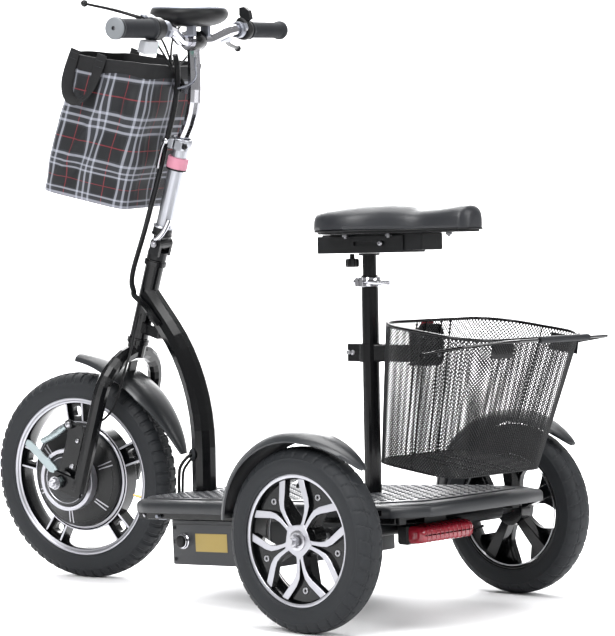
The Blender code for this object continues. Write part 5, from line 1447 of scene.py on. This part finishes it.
def harness():
    """Corrugated loom from the controls down the column and into the down tube."""
    def ripple(i):
        return 1.0 if i % 2 else 0.86
    upper = [(0.03, -0.04, 0.856), (0.0215, -0.035, 0.835), (0.015, -0.0315, 0.81), (0.0135, -0.029, 0.785),
             (0.0125, -0.0262, 0.755), (0.0125, -0.0262, 0.725), (0.013, -0.027, 0.69),
             (0.0125, -0.027, 0.65), (0.0125, -0.028, 0.6), (0.0125, -0.03, 0.555), (0.013, -0.031, 0.52)]
    slack = STEER @ Vector((0.0125, -0.0275, 0.58)), STEER @ Vector((0.0125, -0.0275, 0.82))
    piece("loom_upper", tube(upper, 0.0058, 14, 24, ripple), STEER, "column", PLASTIC, ["harness_upper"],
          smooth=50, bend=("stem_bar", *slack))
    lower = [(0.013, -0.031, 0.5205), (0.0135, -0.033, 0.485), (0.016, -0.034, 0.455),
             (0.02, -0.0335, 0.425), (0.025, -0.028, 0.4), (0.031, -0.015, 0.386)]
    slack = STEER @ Vector((0.013, -0.032, 0.452)), STEER @ Vector((0.013, -0.032, 0.521))
    piece("loom_lower", tube(lower, 0.0056, 14, 24, ripple), STEER, "steering", PLASTIC, ["harness_lower"],
          smooth=50, bend=("column", *slack))
    start = HEAD.inverted() @ STEER @ Vector((0.031, -0.015, 0.386))
    tail = [tuple(start), (0.0372, -0.001, 0.38), (0.035, 0.018, 0.3735), (0.0322, 0.029, 0.369),
            (0.03, 0.04, 0.3625), (0.03, 0.058, 0.353), (0.025, 0.07, 0.344)]
    slack = HEAD @ Vector((0.033, 0.034, 0.366)), HEAD @ start
    piece("loom_tail", tube(tail, 0.0056, 14, 24, ripple), HEAD, "frame", PLASTIC, ["harness_tail"],
          smooth=50, bend=("steering", *slack))
    cable = [(0.027, 0.004, 0.342), (0.0335, 0.008, 0.31), (0.035, 0.01, 0.285), (0.044, 0.015, 0.265),
             (0.0545, 0.019, 0.245), (0.0575, 0.0195, 0.22), (0.06, 0.0195, 0.185), (0.065, 0.018, 0.16),
             (0.069, 0.011, 0.14), (0.074, 0.0, 0.125), (0.078, -0.02, 0.112), (0.0785, -0.045, 0.104),
             (0.0785, -0.059, 0.1)]
    piece("brake_cable_sleeve", tube(cable, 0.0024, 12, 8), STEER, "steering", PLASTIC, ["brake_cable"],
          smooth=60)
    lead = [(0.0245, TUBE_AT - 0.01, 0.262), (0.033, TUBE_AT - 0.018, 0.252), (0.04, TUBE_AT - 0.026, 0.236),
            (0.042, TUBE_AT - 0.028, 0.212), (0.042, TUBE_AT - 0.028, 0.188)]
    second = [(0.0245, TUBE_AT - 0.004, 0.258), (0.03, TUBE_AT - 0.016, 0.243), (0.034, TUBE_AT - 0.024,
        0.226), (0.035, TUBE_AT - 0.026, 0.188)]
    piece("deck_leads", [tube(lead, 0.0034, 10, 8), tube(second, 0.0028, 10, 8)], BASE, "frame", PLASTIC,
          smooth=60)
    grommet = moved(lathe([(0.0055, 0), (0.0115, 0), (0.0125, 0.0018), (0.0105, 0.0042), (0.006, 0.0048)],
        28), BASE @ shift(0.0225, TUBE_AT - 0.008, 0.26) @ rotation("Z", -20) @ ACROSS)
    piece("lead_grommet", grommet, Matrix.Identity(4), "frame", GRIP, smooth=40)


brake()
column()
grips()
lever(1, "left")
lever(-1, "right")
switches()
display()
stem_detail()
harness()


# ---- carried-over CAD nodes ---------------------------------------------------------------------
paint_node(["front_frame", "fork", "seat_post", "seat_tube", "basket_bracket", "basket_handle"], GLOSS)
paint_node(["chassis", "seat_slider_channel", "seat_slider", "fold_hinge_lower", "fold_hinge_upper"], SATIN)
paint_node(["front_axle", "brake_arm"], ZINC)
paint_node(["rear_axle"], BOLT)
paint_node(["column_tube"], ALLOY)
paint_node(["stem", "handlebar", "seat_clamp_lever"], CHROME)
paint_node(["thumb_throttle", "tail_light_housing"], PLASTIC)
paint_node(["rear_reflector"], RED)


# ---- floor, backdrop, light and camera ----------------------------------------------------------
def studio():
    """A pale floor that curves up into a far backdrop, in one sheet."""
    half, near, reach, bend, top = 12.0, -14.0, 5.2, 2.2, 9.0
    outline = [(near, 0.0), (reach - bend, 0.0)]
    outline += [(reach - bend + bend * math.sin(math.radians(a)), bend - bend * math.cos(math.radians(a)))
                for a in range(6, 91, 6)]
    outline += [(reach, top)]
    points = [(side * half, y, z) for y, z in outline for side in (-1, 1)]
    faces = [(2 * i, 2 * i + 1, 2 * i + 3, 2 * i + 2) for i in range(len(outline) - 1)]
    mesh = bpy.data.meshes.new("studio_floor")
    mesh.from_pydata(points, [], faces)
    pale = look("studio_pale", (0.86, 0.86, 0.87), 0.75, grain=(60.0, 0.02), tint=0.01, spread=0.02)
    mesh.materials.append(pale)
    mesh.shade_smooth()
    floor = bpy.data.objects.new("studio_floor", mesh)
    bpy.context.scene.collection.objects.link(floor)
    floor.matrix_world = rotation("Z", 131.7)  # the backdrop faces the camera


def soft_light(name, place, target, size, watts):
    lamp = bpy.data.lights.new(name, "AREA")
    lamp.shape = "RECTANGLE"
    lamp.size, lamp.size_y = size
    lamp.energy = watts
    made = bpy.data.objects.new(name, lamp)
    bpy.context.scene.collection.objects.link(made)
    made.location = place
    made.rotation_euler = (Vector(target) - Vector(place)).to_track_quat("-Z", "Y").to_euler()


def camera():
    """The photograph's view, as it was solved from the wheels: a long lens, far off and almost level."""
    azimuth, lift, roll = (math.radians(degrees) for degrees in (131.707, 1.3667, -1.0385))
    back = Vector((math.sin(azimuth) * math.cos(lift), -math.cos(azimuth) * math.cos(lift), math.sin(lift)))
    right = Vector((math.cos(azimuth), math.sin(azimuth), 0))
    up = back.cross(right)
    turn = Matrix((right, up, back)).transposed().to_4x4()
    lens = bpy.data.cameras.new("photo_view")
    lens.lens = 134.82
    lens.sensor_width = 36
    lens.clip_end = 60
    made = bpy.data.objects.new("photo_view", lens)
    bpy.context.scene.collection.objects.link(made)
    made.matrix_world = shift(3.28, 3.0309, 0.6273) @ turn @ Matrix.Rotation(roll, 4, "Z")
    bpy.context.scene.camera = made


studio()
middle = (0, 0, 0.5)
soft_light("key", (4.6, 1.2, 3.6), middle, (2.6, 2.6), 330)
soft_light("fill", (-0.6, 4.8, 2.6), middle, (2.4, 3.0), 170)
soft_light("top", (0.2, 0.0, 4.6), middle, (3.2, 3.2), 260)
soft_light("rim", (-2.6, -2.2, 2.6), middle, (2.0, 2.0), 120)
soft_light("backdrop", (-1.6, -1.5, 4.6), (-4.0, -3.6, 1.2), (5.0, 2.0), 420)
world = bpy.data.worlds.new("studio_air")
world.use_nodes = True
world.node_tree.nodes["Background"].inputs["Color"].default_value = (1, 1, 1, 1)
world.node_tree.nodes["Background"].inputs["Strength"].default_value = 0.42
bpy.context.scene.world = world
bpy.context.scene.view_settings.view_transform = "Standard"
camera()
